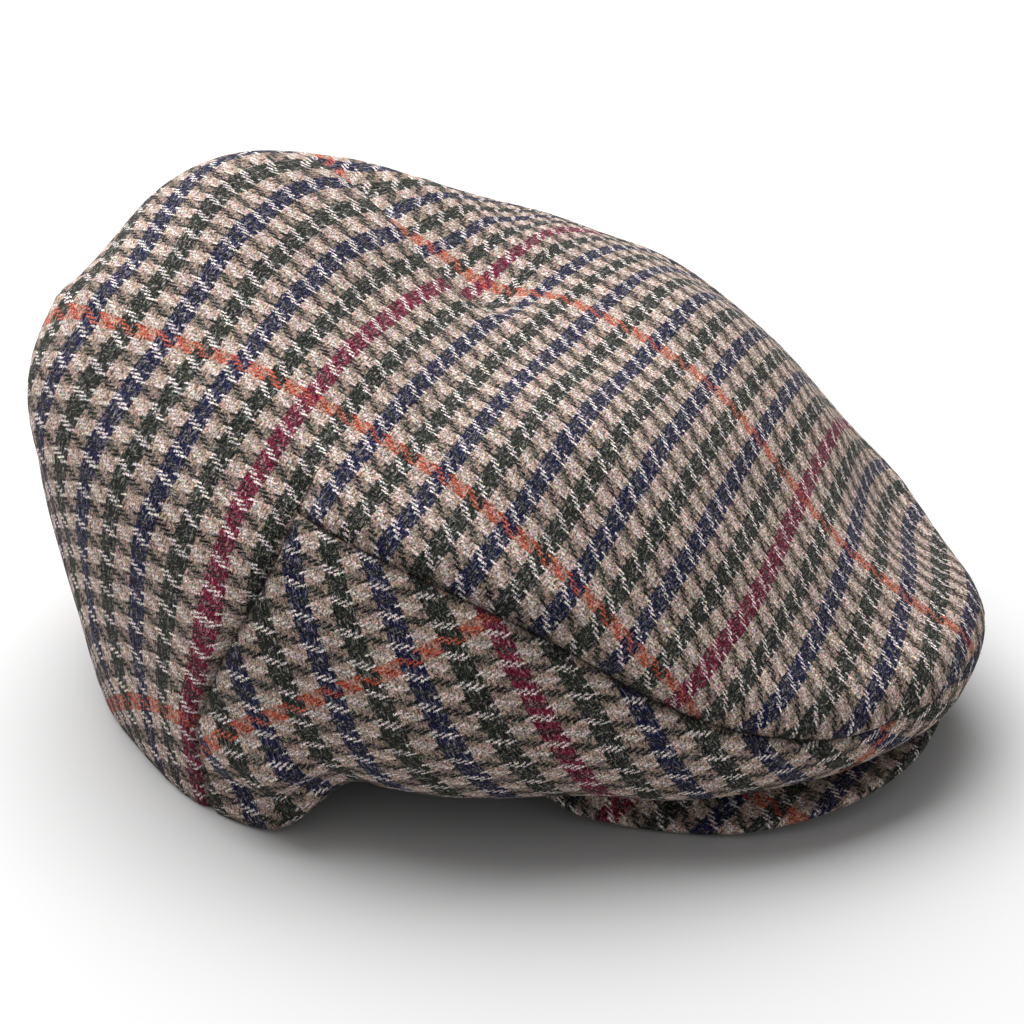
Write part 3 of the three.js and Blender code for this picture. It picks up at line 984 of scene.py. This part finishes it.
@dataclass
class ClothPiece:
    """A sewn piece of the cap."""

    name: str
    node: str
    slot: str
    finish: WoollenTwill
    form: CrownForm
    lay: ClothLay
    thickness: float = 2.0
    seam_roll: float = 1.5  # how deep the edge turns down into the seam
    seam_width: float = 3.2
    front_ease: float = 2.6  # how much less the front edge is drawn in, and its painted seam shade fainter
    front_bearings: tuple[float, float] = (14.0, 34.0)  # between which that dies away
    line_steps: int = 61  # steps along a line when its length is measured
    floor: float = 0.0
    folds: tuple = ()
    # Slow unevenness of the cloth: wavelength, and direction across the waves.
    waves: tuple = ((47.0, (0.6, 0.7, 0.4)), (36.0, (0.8, -0.5, 0.3)), (29.0, (0.2, 0.6, -0.75)))
    wave_height: float = 0.25
    guides: list = field(default_factory=list)

    def place(self, along: np.ndarray, across: np.ndarray) -> np.ndarray:
        """Points on the piece, from two shares."""
        raise NotImplementedError

    def shell(self) -> Shell:
        """The piece's outer face."""
        raise NotImplementedError

    def loosened(self, points: np.ndarray, from_seam: np.ndarray) -> np.ndarray:
        """Distances from a seam, raised toward the front, where the seam is drawn in less and its painted
        shade is fainter.
        """
        bearing = np.degrees(np.arctan2(abs(points[:, 0]), -points[:, 1]))
        return from_seam + self.front_ease * (1 - smooth_step(bearing, *self.front_bearings))

    def worked(self, points: np.ndarray, outward: np.ndarray, from_seam: np.ndarray) -> np.ndarray:
        """Presses the folds and the cloth's unevenness in, and turns the edges down into the seams.

        Args:
            points: Vertices of the smooth piece.
            outward: Their outward directions.
            from_seam: Their distances from a seam.

        Returns:
            The moved vertices.
        """
        lift = sum(fold.lift(self.form, points) for fold in self.folds)
        for length, (x, y, z) in self.waves:
            phase = (points @ np.array([x, y, z])) * 2 * math.pi / length
            lift = lift + self.wave_height * np.sin(phase + length)
        share = np.clip(1 - from_seam / self.seam_width, 0, 1)
        moved = points + outward * (lift - self.seam_roll * share**2)[:, None]
        moved[:, 2] = np.maximum(moved[:, 2], self.floor)
        return moved

    def build(self) -> bpy.types.Object:
        """Returns:
            The finished object.
        """
        shell = self.shell()
        points, faces, cloth, from_seam = shell.closed(self.thickness)
        made = mesh_object(self.name, points, faces, cloth, from_seam)
        self.dress(made)
        self.declare(made, shell.cloth, shell.quads)
        log.info("%s: %d faces", self.name, len(faces))
        return made

    def dress(self, made: bpy.types.Object) -> None:
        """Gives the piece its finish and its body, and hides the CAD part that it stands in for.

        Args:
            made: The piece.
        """
        made.data.materials.append(self.finish.material())
        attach(made, BODY)
        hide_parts(self.node)

    def declare(self, made: bpy.types.Object, cloth: np.ndarray, quads: np.ndarray) -> None:
        """Does nothing: the piece is not declared as a sheet.

        Args:
            made: The piece; not used.
            cloth: Place in the check at each vertex; not used.
            quads: The faces of its outer side; not used.
        """

    def spots(self, points: np.ndarray) -> np.ndarray:
        """The guides' points on the piece, whose coarse mesh has these points."""
        places = np.array([guide.place for guide in self.guides])
        return self.form.point(places[:, 0], places[:, 1])

    def lay_on_grid(self, columns: int, rows: int, order: list[int]) -> np.ndarray:
        """Lays the check over a coarse grid of the piece.

        Args:
            columns: Steps along it.
            rows: Steps across it.
            order: Of each face's corners, so that they go anticlockwise seen from outside.

        Returns:
            A grid of places in the check.
        """
        i, j = np.meshgrid(np.arange(columns + 1), np.arange(rows + 1), indexing="ij")
        points = self.place(i.ravel() / columns, j.ravel() / rows)
        number = np.arange(i.size).reshape(i.shape)
        triangles = split_quads(grid_quads(number)[:, order])
        edge = np.unique(np.concatenate([number[0], number[-1], number[:, 0], number[:, -1]]))
        found = self.lay.lay(points, triangles, self.guides, self.spots(points), edge)
        return found.reshape(*i.shape, 2)


@dataclass
class CrownTop(ClothPiece):
    """The one-piece top and back, from the front edge over the top and down the back to the hem."""

    rings: int = 50
    rim_distances: tuple = (8.0, 5.8, 4.0, 2.7, 1.7, 0.9, 0.35, 0.0)
    front_arc: float = 0.5  # share of half the edge that runs along a side panel
    rear_arc: float = 0.22  # and down the rear seam; the rest is hem
    fan_bearing: float = 150.0  # where the line to the rear seam's foot leaves the middle
    fan_bend: float = 2.5  # how late those lines turn toward it
    seam_width: float = 4.5
    seam_roll: float = 2.3
    puff: float = 2.2  # how far the cloth swells out beside a seam
    puff_from: float = 9.0
    puff_width: float = 7.0
    puff_heights: tuple[float, float] = (5.0, 25.0)  # between which the swell comes in over the hem
    rear_ease: float = 0.75  # how much less it swells toward the back
    rear_bearings: tuple[float, float] = (78.0, 98.0)  # between which that comes in
    edge_points: int = 1600
    stitch_points: int = 1200
    coarse_lines: int = 100
    coarse_rings: int = 12

    def edge_place(self, share: np.ndarray) -> tuple[np.ndarray, np.ndarray, np.ndarray]:
        """Where each line from the middle leaves and ends.

        Args:
            share: Of the way round the edge, from the front by the wearer's right.

        Returns:
            The bearing it leaves at, and the bearing and height share it ends at.
        """
        share = np.mod(share, 1)
        half = 2 * np.minimum(share, 1 - share)
        tip_bearing, tip_height = self.form.tip
        along = np.clip(half / self.front_arc, 0, 1)
        down = np.clip((half - self.front_arc) / self.rear_arc, 0, 1)
        past_corner = half - self.front_arc - self.rear_arc
        round_hem = np.clip(past_corner / (1 - self.front_arc - self.rear_arc), 0, 1)
        height = np.where(half < self.front_arc, self.form.upper_height(along), tip_height * (1 - down))
        bearing = np.where(half < self.front_arc, along, 1) * self.form.rear_bearing(height)
        bearing = bearing + (180 - bearing) * round_hem
        fanned = tip_bearing + (self.fan_bearing - tip_bearing) * down
        leave = np.where(half < self.front_arc, bearing, fanned)
        leave = leave + (180 - leave) * round_hem
        left = share > 0.5
        return (np.where(left, 360 - leave, leave), np.where(left, 360 - bearing, bearing), height)

    def place(self, share: np.ndarray, out: np.ndarray) -> np.ndarray:
        """Points on the piece, on the line to a share of the edge and a share of the way out."""
        leave, bearing, height = self.edge_place(share)
        return self.form.point(leave + (bearing - leave) * out**self.fan_bend, 1 + (height - 1) * out)

    def _out_at(self, share: np.ndarray, distance: float) -> np.ndarray:
        """Share of the way out at which a line is at a distance from the edge.

        Args:
            share: Of the way round the edge, for each line.
            distance: From the edge, along the line.

        Returns:
            A share of the way out for each line.
        """
        steps = np.linspace(0, 1, self.line_steps)
        run = run_along(self.place(share[:, None], np.broadcast_to(steps, (len(share), len(steps)))))
        return np.array([np.interp(row[-1] - distance, row, steps) for row in run])

    def shell(self) -> Shell:
        """Builds square rings round the middle, then a few close rings along the edge.

        Returns:
            The outer face.
        """
        size = self.rings
        i, j = (side.ravel() for side in np.meshgrid(*[np.arange(-size, size + 1)] * 2, indexing="ij"))
        ring = np.maximum(abs(i), abs(j))
        turn = np.where(i == ring, j + ring, np.where(j == ring, 3 * ring - i,
                        np.where(i == -ring, 5 * ring - j, 7 * ring + i)))
        share = turn / np.maximum(8 * ring, 1)
        loop = np.arange(8 * size) / (8 * size)
        last = self._out_at(loop, self.rim_distances[0])
        out = ring / size * np.interp(share, np.append(loop, 1), np.append(last, last[0]))
        square = np.arange(len(i)).reshape(2 * size + 1, 2 * size + 1)
        quads = [grid_quads(square)[:, [0, 3, 2, 1]]]
        outer = np.flatnonzero(ring == size)
        outer = outer[np.argsort(turn[outer])]
        shares, outs, count = [share], [out], len(i)
        for distance in self.rim_distances[1:]:
            numbers = count + np.arange(8 * size)
            quads.append(np.stack([outer, np.roll(outer, -1), np.roll(numbers, -1), numbers], axis=1))
            shares.append(loop)
            outs.append(self._out_at(loop, distance))
            outer, count = numbers, count + 8 * size
        share, out, quads = np.concatenate(shares), np.concatenate(outs), np.concatenate(quads)
        points = self.place(share, out)
        triangles = split_quads(quads)
        normals = vertex_normals(points, triangles)
        edge = self.place(np.linspace(0, 1, self.edge_points), np.ones(self.edge_points))
        from_seam = self.loosened(points, distance_to_line(points, edge))
        stitches = np.linspace(-1, 1, self.stitch_points) * (self.front_arc + self.rear_arc) / 2
        stitched = self.place(stitches, np.ones_like(stitches))
        beside = distance_to_line(points, stitched)
        swell = self.puff * np.exp(-((beside - self.puff_from) / self.puff_width) ** 2)
        swell = swell * smooth_step(points[:, 2], *self.puff_heights)
        bearing = np.degrees(np.arctan2(abs(points[:, 0]), -points[:, 1]))
        swell = swell * (1 - self.rear_ease * smooth_step(bearing, *self.rear_bearings))
        points = self.worked(points + normals * swell[:, None], normals, from_seam)
        return Shell(points, quads, outer[::-1], self._cloth(share, out), from_seam, normals)

    def _cloth(self, share: np.ndarray, out: np.ndarray) -> np.ndarray:
        """Args:
            share: Of the way round the edge, for each vertex.
            out: Share of the way out, for each vertex.

        Returns:
            A place in the check for each vertex.
        """
        lines, rings = self.coarse_lines, self.coarse_rings
        line, ring = np.meshgrid(np.arange(lines), np.arange(1, rings + 1), indexing="ij")
        points = self.place(np.append(0, line / lines), np.append(0, ring / rings))
        number = np.arange(lines * rings).reshape(lines, rings) + 1
        middle = np.stack([np.zeros(lines, int), np.roll(number[:, 0], -1), number[:, 0]], axis=1)
        quads = grid_quads(np.vstack([number, number[:1]]))
        triangles = np.concatenate([middle, split_quads(quads)])
        found = self.lay.lay(points, triangles, self.guides, self.spots(points), number[:, -1])
        grid = np.empty((lines + 1, rings + 1, 2))
        grid[:, 0] = found[0]
        grid[:-1, 1:] = found[1:].reshape(lines, rings, 2)
        grid[-1] = grid[0]
        return bilinear(grid, share * lines, out * rings)


@dataclass
class SidePanel(ClothPiece):
    """A side panel, from the front edge back to its tip, between the seam under the top and the hem."""

    side: int = 1  # 1 on the wearer's right, -1 on the left
    columns: int = 150
    rows: int = 24
    end_distances: tuple = (0.0, 0.35, 0.9, 1.7, 2.7, 4.0, 5.8, 8.0)
    length: float = 250.0
    edge_points: int = 500
    end_points: int = 200
    coarse_columns: int = 40
    coarse_rows: int = 8

    def place(self, along: np.ndarray, up: np.ndarray) -> np.ndarray:
        """Points on the panel, from shares along it and up it."""
        height = up * self.form.upper_height(along)
        return self.form.point(self.side * along * self.form.rear_bearing(height), height)

    def _ups(self, along: np.ndarray) -> np.ndarray:
        """Shares up each column: close rows along both edges and even ones between.

        Args:
            along: Share along the panel, for each column.

        Returns:
            Shares up the panel, a row for each column.
        """
        steps = np.linspace(0, 1, self.line_steps)
        run = run_along(self.place(along[:, None], np.broadcast_to(steps, (len(along), len(steps)))))
        near = np.array(self.end_distances)
        found = []
        for row in run:
            even = np.linspace(near[-1], row[-1] - near[-1], self.rows + 1)[1:-1]
            found.append(np.interp(np.concatenate([near, even, row[-1] - near[::-1]]), row, steps))
        return np.array(found)

    def shell(self) -> Shell:
        """Builds a grid of columns, closer at its edges.

        Returns:
            The outer face.
        """
        near = np.array(self.end_distances) / self.length
        even = np.linspace(near[-1], 1 - near[-1], self.columns + 1)[1:-1]
        along = np.concatenate([near, even, 1 - near[::-1]])
        up = self._ups(along)
        along = np.broadcast_to(along[:, None], up.shape)
        shape = up.shape
        points = self.place(along.ravel(), up.ravel())
        number = np.arange(up.size).reshape(shape)
        quads = grid_quads(number)
        rim = np.concatenate([number[:, 0], number[-1, 1:], number[-2::-1, -1], number[0, -2:0:-1]])
        if self.side > 0:
            quads, rim = quads[:, ::-1], rim[::-1]
        triangles = split_quads(quads)
        along_edge, end_edge = np.linspace(0, 1, self.edge_points), np.linspace(0, 1, self.end_points)
        edge = np.concatenate([self.place(along_edge, np.full_like(along_edge, seam)) for seam in (1, 0)]
                              + [self.place(np.full_like(end_edge, end), end_edge) for end in (1, 0)])
        from_seam = self.loosened(points, distance_to_line(points, edge))
        outward = vertex_normals(points, triangles)
        points = self.worked(points, outward, from_seam)
        return Shell(points, quads, rim, self._cloth(along.ravel(), up.ravel()), from_seam, outward)

    def _cloth(self, along: np.ndarray, up: np.ndarray) -> np.ndarray:
        """Args:
            along: Share along the panel, for each vertex.
            up: Share up it, for each vertex.

        Returns:
            A place in the check for each vertex.
        """
        columns, rows = self.coarse_columns, self.coarse_rows
        order = [3, 2, 1, 0] if self.side > 0 else [0, 1, 2, 3]
        return bilinear(self.lay_on_grid(columns, rows, order), along * columns, up * rows)


@dataclass
class Peak(ClothPiece):
    """The stiff cloth-covered peak: a bent plate with a rounded edge."""

    # Lower edge from the middle to the corner: distance to the side, distance forward, height.
    edge: tuple = ((0, 126, 9.5), (24, 124, 8), (44, 114, 5.5), (58, 98, 2.5), (65, 83, 0.6), (68, 67, 0),
                   (71, 54, 1.5), (74.5, 45, 5), (75, 37, 10.5))
    hem_bearing: float = 64.0
    seam_drop: float = 0.7
    droop: float = 2.0
    columns: int = 160
    rows: int = 36
    round_steps: int = 8
    least_stop: float = 0.4  # least share of the way out at which the edge starts to round
    nose_share: float = 0.6  # most that the round edge takes of a short section
    coarse_columns: int = 40
    coarse_rows: int = 8

    def _rim_curve(self, share: np.ndarray) -> np.ndarray:
        """Points on the lower edge, from the wearer's right to the left.

        Args:
            share: Of the way across the peak.

        Returns:
            A point for each share.
        """
        half = np.array(self.edge, float) * [1, -1, 1]
        knots = np.concatenate([half[:0:-1] * [-1, 1, 1], half])
        knots = np.concatenate([2 * knots[:1] - knots[1:2], knots, 2 * knots[-1:] - knots[-2:-1]])
        spans = len(knots) - 3
        low = np.clip((share * spans).astype(int), 0, spans - 1)
        w = (share * spans - low)[:, None]
        return between_knots([knots[low + k] for k in range(4)], w)

    def place(self, share: np.ndarray, out: np.ndarray) -> np.ndarray:
        """Finds points on the upper face.

        Args:
            share: Of the way across the peak.
            out: Of the way out from its seam.

        Returns:
            A point for each pair of shares.
        """
        bearing = self.hem_bearing * (1 - 2 * share)
        hem = self.form.rings(bearing)[:, 0]
        angle = np.radians(bearing)
        seam = np.stack([-hem[:, 0] * np.sin(angle), -hem[:, 0] * np.cos(angle),
                         hem[:, 1] - self.seam_drop], axis=1)
        rim = self._rim_curve(share) + [0, 0, self.thickness]
        points = seam + (rim - seam) * out[:, None]
        points[:, 2] -= self.droop * np.sin(np.pi * out)
        return points

    def _loops(self) -> tuple[np.ndarray, np.ndarray]:
        """Builds closed section loops, one for each column.

        Returns:
            Points for each column, and how far out each is along the cloth.
        """
        share = np.linspace(0, 1, self.columns + 1)
        ends = self.place(share, np.ones_like(share)) - self.place(share, np.zeros_like(share))
        reach = np.linalg.norm(ends, axis=1)
        radius = self.thickness / 2
        stop = np.maximum(1 - radius / reach, self.least_stop)
        forward = ends / np.maximum(np.linalg.norm(ends[:, :2], axis=1, keepdims=True), 1e-9)
        forward[:, 2] = 0
        rows = np.linspace(0, 1, self.rows + 1)
        upper = np.stack([self.place(share, stop * row) for row in rows], axis=1)
        outs = stop[:, None] * rows
        turn = np.linspace(math.pi / 2, -math.pi / 2, self.round_steps + 1)[1:-1]
        size = np.minimum(radius, reach * self.nose_share)[:, None, None]
        middle = (upper[:, -1] - [0, 0, radius])[:, None]
        nose = middle + forward[:, None] * size * np.cos(turn)[:, None]
        nose = nose + np.array([0, 0, radius]) * np.sin(turn)[:, None]
        lower = upper[:, ::-1] - [0, 0, self.thickness]
        round_outs = stop[:, None] + (math.pi / 2 - turn) * radius / reach[:, None]
        under = stop[:, None] + math.pi * radius / reach[:, None] + (outs[:, -1:] - outs[:, ::-1])
        return (np.concatenate([upper, nose, lower], axis=1),
                np.concatenate([outs, round_outs, under], axis=1))

    def build(self) -> bpy.types.Object:
        """Returns:
            The finished object.
        """
        points, outs = self._loops()
        columns, ring = outs.shape
        share = np.repeat(np.linspace(0, 1, columns)[:, None], ring, axis=1)
        cloth = self._cloth(share.ravel(), outs.ravel())
        number = np.arange(columns * ring).reshape(columns, ring)
        band = grid_quads(np.hstack([number, number[:, :1]]))
        faces = band[:, ::-1].tolist()
        half = ring // 2
        for column, flip in ((0, False), (columns - 1, True)):
            for k in range(half):
                low, high = number[column, k], number[column, k + 1]
                cap = [low, number[column, ring - 1 - k], number[column, ring - 2 - k], high]
                cap = list(dict.fromkeys(int(v) for v in cap))
                if len(cap) > 2:
                    faces.append(cap if flip else cap[::-1])
        seam_line = points[:, 0]
        points = points.reshape(-1, 3)
        made = mesh_object(self.name, points, faces, cloth, distance_to_line(points, seam_line))
        self.dress(made)
        self.declare(made, cloth, grid_quads(number[:, :self.rows + 1]))
        return made

    def spots(self, points: np.ndarray) -> np.ndarray:
        """Puts each guide at the height of the nearest vertex of the coarse mesh.

        Args:
            points: Vertices of the coarse mesh.

        Returns:
            A point for each guide.
        """
        places = [guide.place for guide in self.guides]
        heights = [points[((points[:, :2] - place) ** 2).sum(1).argmin(), 2] for place in places]
        return np.column_stack([places, heights])

    def _cloth(self, share: np.ndarray, out: np.ndarray) -> np.ndarray:
        """Reads the check at each vertex; past the edge the cloth turns under and runs back.

        Args:
            share: Of the way across the peak, for each vertex.
            out: How far out it is along the cloth, with 1 at the edge.

        Returns:
            A place in the check for each vertex.
        """
        columns, rows = self.coarse_columns, self.coarse_rows
        grid = self.lay_on_grid(columns, rows, [0, 3, 2, 1])
        inside = bilinear(grid, share * columns, np.minimum(out, 1) * rows)
        slope = inside - bilinear(grid, share * columns, np.minimum(out, 1) * rows - 1)
        return inside + slope * rows * np.maximum(out - 1, 0)[:, None]


# ---------------------------------------------------------------- the cap


@dataclass
class FlatCap:
    """The whole cap: its form, the way the check lies on it, and its four pieces."""

    form: CrownForm = CrownForm()
    lay: ClothLay = ClothLay()
    # Where the soft cloth has been pressed: ends as bearing and height share, width and rise.
    folds: tuple = (
        Fold((224, 0.84), (270, 0.82), 32, -5.0, 0.5),  # hollow on the far side of the top
        Fold((330, 0.6), (357, 0.48), 24, -6.0, 0.5),  # hollow over the far front
        Fold((166, 0.62), (150, 0.7), 6, 2.6),  # ridge over the back
        Fold((116, 0.29), (98, 0.25), 5, -4.5),  # crease over the near lobe
        Fold((116, 0.36), (99, 0.31), 6, 3.2),  # and the fold that hangs over it
        Fold((112, 0.675), (99, 0.65), 4, -2.4),  # pucker at the near panel's tip
    )

    def top_guides(self) -> list[Guide]:
        """Says where the check's lines pass over the top: place along the line, bearing, height share.

        Returns:
            Guides for the top.
        """
        near_orange = ((-8, 159, 0.65), (-4, 137.5, 0.72), (0, 113.5, 0.76), (4, 83, 0.73),
                       (8, 59, 0.62), (12, 45.5, 0.51))
        far_orange = ((2, 270, 0.92), (6, 353, 0.86), (10, 8, 0.73), (14, 8, 0.6), (18, 2, 0.45))
        far_orange_behind = ((None, 178, 0.8), (None, 183, 0.86))
        crimson = ((-12, 118, 0.35), (-8.5, 110, 0.5), (-4.5, 110, 0.63), (1, 114, 0.78),
                   (3, 118, 0.85), (8, 178, 0.95), (None, 242, 0.9), (None, 253, 0.865),
                   (None, 262, 0.81), (None, 264, 0.74))
        front_crimson = ((None, 38, 0.56), (None, 30, 0.61), (None, 21, 0.64), (None, 14, 0.66))
        navy_behind = ((-12, 136, 0.3), (-8.5, 124, 0.47), (-4.5, 122, 0.62), (None, 131, 0.82))
        next_navy_behind = ((-9.5, 145, 0.35), (-6.5, 135, 0.51), (-2.5, 136, 0.66))
        guides = thread_line(near_orange, across=0)
        guides += thread_line(far_orange, across=12)
        guides += thread_line(far_orange_behind, across=12, firmness=0.3)
        guides += thread_line(crimson, along=0)
        guides += thread_line(front_crimson, along=12)
        guides += thread_line(navy_behind, along=-2, firmness=0.6)
        guides += thread_line(next_navy_behind, along=-4, firmness=0.5)
        # along, bearing, height
        far_rows = ((-4, 215, 0.87), (-4, 235, 0.82), (-2, 221, 0.9), (-2, 237, 0.87), (-2, 251, 0.77),
                    (2, 244, 0.94), (2, 269, 0.9), (2, 276, 0.84), (4, 309, 0.87), (4, 290, 0.76),
                    (6, 325, 0.84), (6, 310, 0.78), (8, 323, 0.75), (12, 326, 0.61), (16, 335, 0.53))
        for along, bearing, height in far_rows:
            guides.append(Guide((bearing, height), None, along, 0.7))
        return guides

    def side_guides(self, side: int) -> list[Guide]:
        """Says where they pass over a side panel; the left one is cut as the right one's mirror image.

        Args:
            side: 1 on the wearer's right, -1 on the left.

        Returns:
            Guides for the panel.
        """
        orange = ((0, 73, 0.575), (None, 81, 0.535), (None, 90, 0.485), (None, 105, 0.395),
                  (None, 112, 0.335))
        crimson = ((None, 69, 0.51), (None, 63, 0.44), (None, 57, 0.265))
        navy = ((None, 91, 0.61), (None, 83, 0.51), (None, 76, 0.38))
        next_navy = ((None, 101, 0.59), (None, 94, 0.465), (None, 92, 0.315))
        guides = thread_line(orange, across=0)
        for rows, along in ((crimson, 0), (navy, -2), (next_navy, -4)):
            guides += thread_line(rows, along=along)
        if side > 0:
            return guides
        return [Guide((360 - guide.place[0], guide.place[1]), guide.across,
                      None if guide.along is None else -guide.along) for guide in guides]

    def peak_guides(self) -> list[Guide]:
        """Where they pass over the peak: places to the side and forward."""
        return [Guide((-69.8, -53.3), -3.5, 0), Guide((-66, -78), None, 2), Guide((-55, -95), 0, 3),
                Guide((-46, -107), None, 4)]

    def build(self) -> list[bpy.types.Object]:
        """Makes every piece.

        Returns:
            The finished objects.
        """
        top = CrownTop("TopPanel", "crown_top", "tweed_top", WoollenTwill("Tweed_top"), self.form, self.lay,
                       folds=self.folds, guides=self.top_guides())
        sides = [SidePanel(f"SidePanel{label}", f"side_panel_{label.lower()}", "tweed_side",
                           WoollenTwill(f"Tweed_side_{label.lower()}"), self.form, self.lay, side=side,
                           folds=self.folds, guides=self.side_guides(side))
                 for label, side in (("Right", 1), ("Left", -1))]
        peak = Peak("Peak", "peak", "tweed_peak", WoollenTwill("Tweed_peak"), self.form, self.lay,
                    thickness=3.0, guides=self.peak_guides())
        return [piece.build() for piece in (top, *sides, peak)]


# ---------------------------------------------------------------- the studio


@dataclass(frozen=True)
class Softbox:
    """A square diffused lamp, with its place and its target in metres."""

    name: str
    place: tuple[float, float, float]
    size: float
    watts: float
    target: tuple[float, float, float] = (0.0, 0.0, 0.05)

    def build(self) -> bpy.types.Object:
        """Makes the lamp and turns it to its target.

        Returns:
            The lamp.
        """
        data = bpy.data.lights.new(self.name, "AREA")
        data.shape = "SQUARE"
        data.size = self.size
        data.energy = self.watts
        lamp = bpy.data.objects.new(self.name, data)
        bpy.context.scene.collection.objects.link(lamp)
        lamp.location = self.place
        lamp.rotation_euler = (Vector(self.place) - Vector(self.target)).to_track_quat("Z", "Y").to_euler()
        return lamp


@dataclass(frozen=True)
class Studio:
    """A pale floor under even soft light, and the camera above the wearer's right."""

    azimuth: float = -70.5
    elevation: float = 28.2
    distance: float = 1000.0
    lens: float = 126.5
    target: tuple[float, float, float] = (0.0, 0.0, 55.0)
    aim_right: float = 0.63  # from the target, as the camera sees it
    aim_up: float = -4.2
    sky: float = 0.33
    floor_drop: float = 0.2

    def build(self) -> None:
        """Makes the floor, the light and the camera."""
        self._floor()
        self._sky()
        Softbox("Overhead", (0.5, 0.7, 1.7), 2.2, 90.0).build()
        Softbox("FillBehind", (-0.7, 1.6, 0.6), 1.2, 2.5).build()
        Softbox("FillAhead", (-0.9, -1.6, 0.5), 1.2, 2.0).build()
        self._camera()
        bpy.context.scene.view_settings.view_transform = "Standard"

    def _floor(self) -> None:
        """A plain pale floor."""
        bpy.ops.object.select_all(action="DESELECT")
        bpy.ops.mesh.primitive_plane_add(size=12, location=(0, 0, -self.floor_drop * MM))
        floor = bpy.context.object
        floor.name = "Floor"
        paint = bpy.data.materials.new("Pale_floor")
        paint.use_nodes = True
        paint.node_tree.nodes.clear()
        shader = add_node(paint.node_tree, "ShaderNodeBsdfPrincipled", {}, {
            "Base Color": linear("#C6C6C6"), "Roughness": 0.9, "Specular IOR Level": 0.1})
        add_node(paint.node_tree, "ShaderNodeOutputMaterial", {}, {"Surface": shader.outputs[0]})
        floor.data.materials.append(paint)

    def _sky(self) -> None:
        """Even white light from all round."""
        world = bpy.data.worlds.new("White_room")
        world.use_nodes = True
        world.node_tree.nodes.clear()
        light = add_node(world.node_tree, "ShaderNodeBackground", {}, {
            "Color": (1, 1, 1, 1), "Strength": self.sky})
        add_node(world.node_tree, "ShaderNodeOutputWorld", {}, {"Surface": light.outputs[0]})
        bpy.context.scene.world = world

    def _camera(self) -> None:
        """The camera, above the wearer's right and a little ahead."""
        turn, rise = math.radians(self.azimuth), math.radians(self.elevation)
        back = Vector((math.sin(turn) * math.cos(rise), -math.cos(turn) * math.cos(rise), math.sin(rise)))
        right = Vector((math.cos(turn), math.sin(turn), 0))
        up = back.cross(right)
        target = Vector(self.target) + right * self.aim_right + up * self.aim_up
        data = bpy.data.cameras.new("Camera")
        data.sensor_width = 36.0
        data.lens = self.lens
        camera = bpy.data.objects.new("Camera", data)
        bpy.context.scene.collection.objects.link(camera)
        camera.location = (target + back * self.distance) * MM
        camera.rotation_euler = Matrix((right, up, back)).transposed().to_euler()
        bpy.context.scene.camera = camera


def main() -> None:
    """Makes the cap and its studio."""
    logging.basicConfig(level=logging.INFO, format="%(name)s %(levelname)s %(message)s")
    bpy.ops.object.select_all(action="DESELECT")
    FlatCap().build()
    Studio().build()


if __name__ == "__main__":
    main()
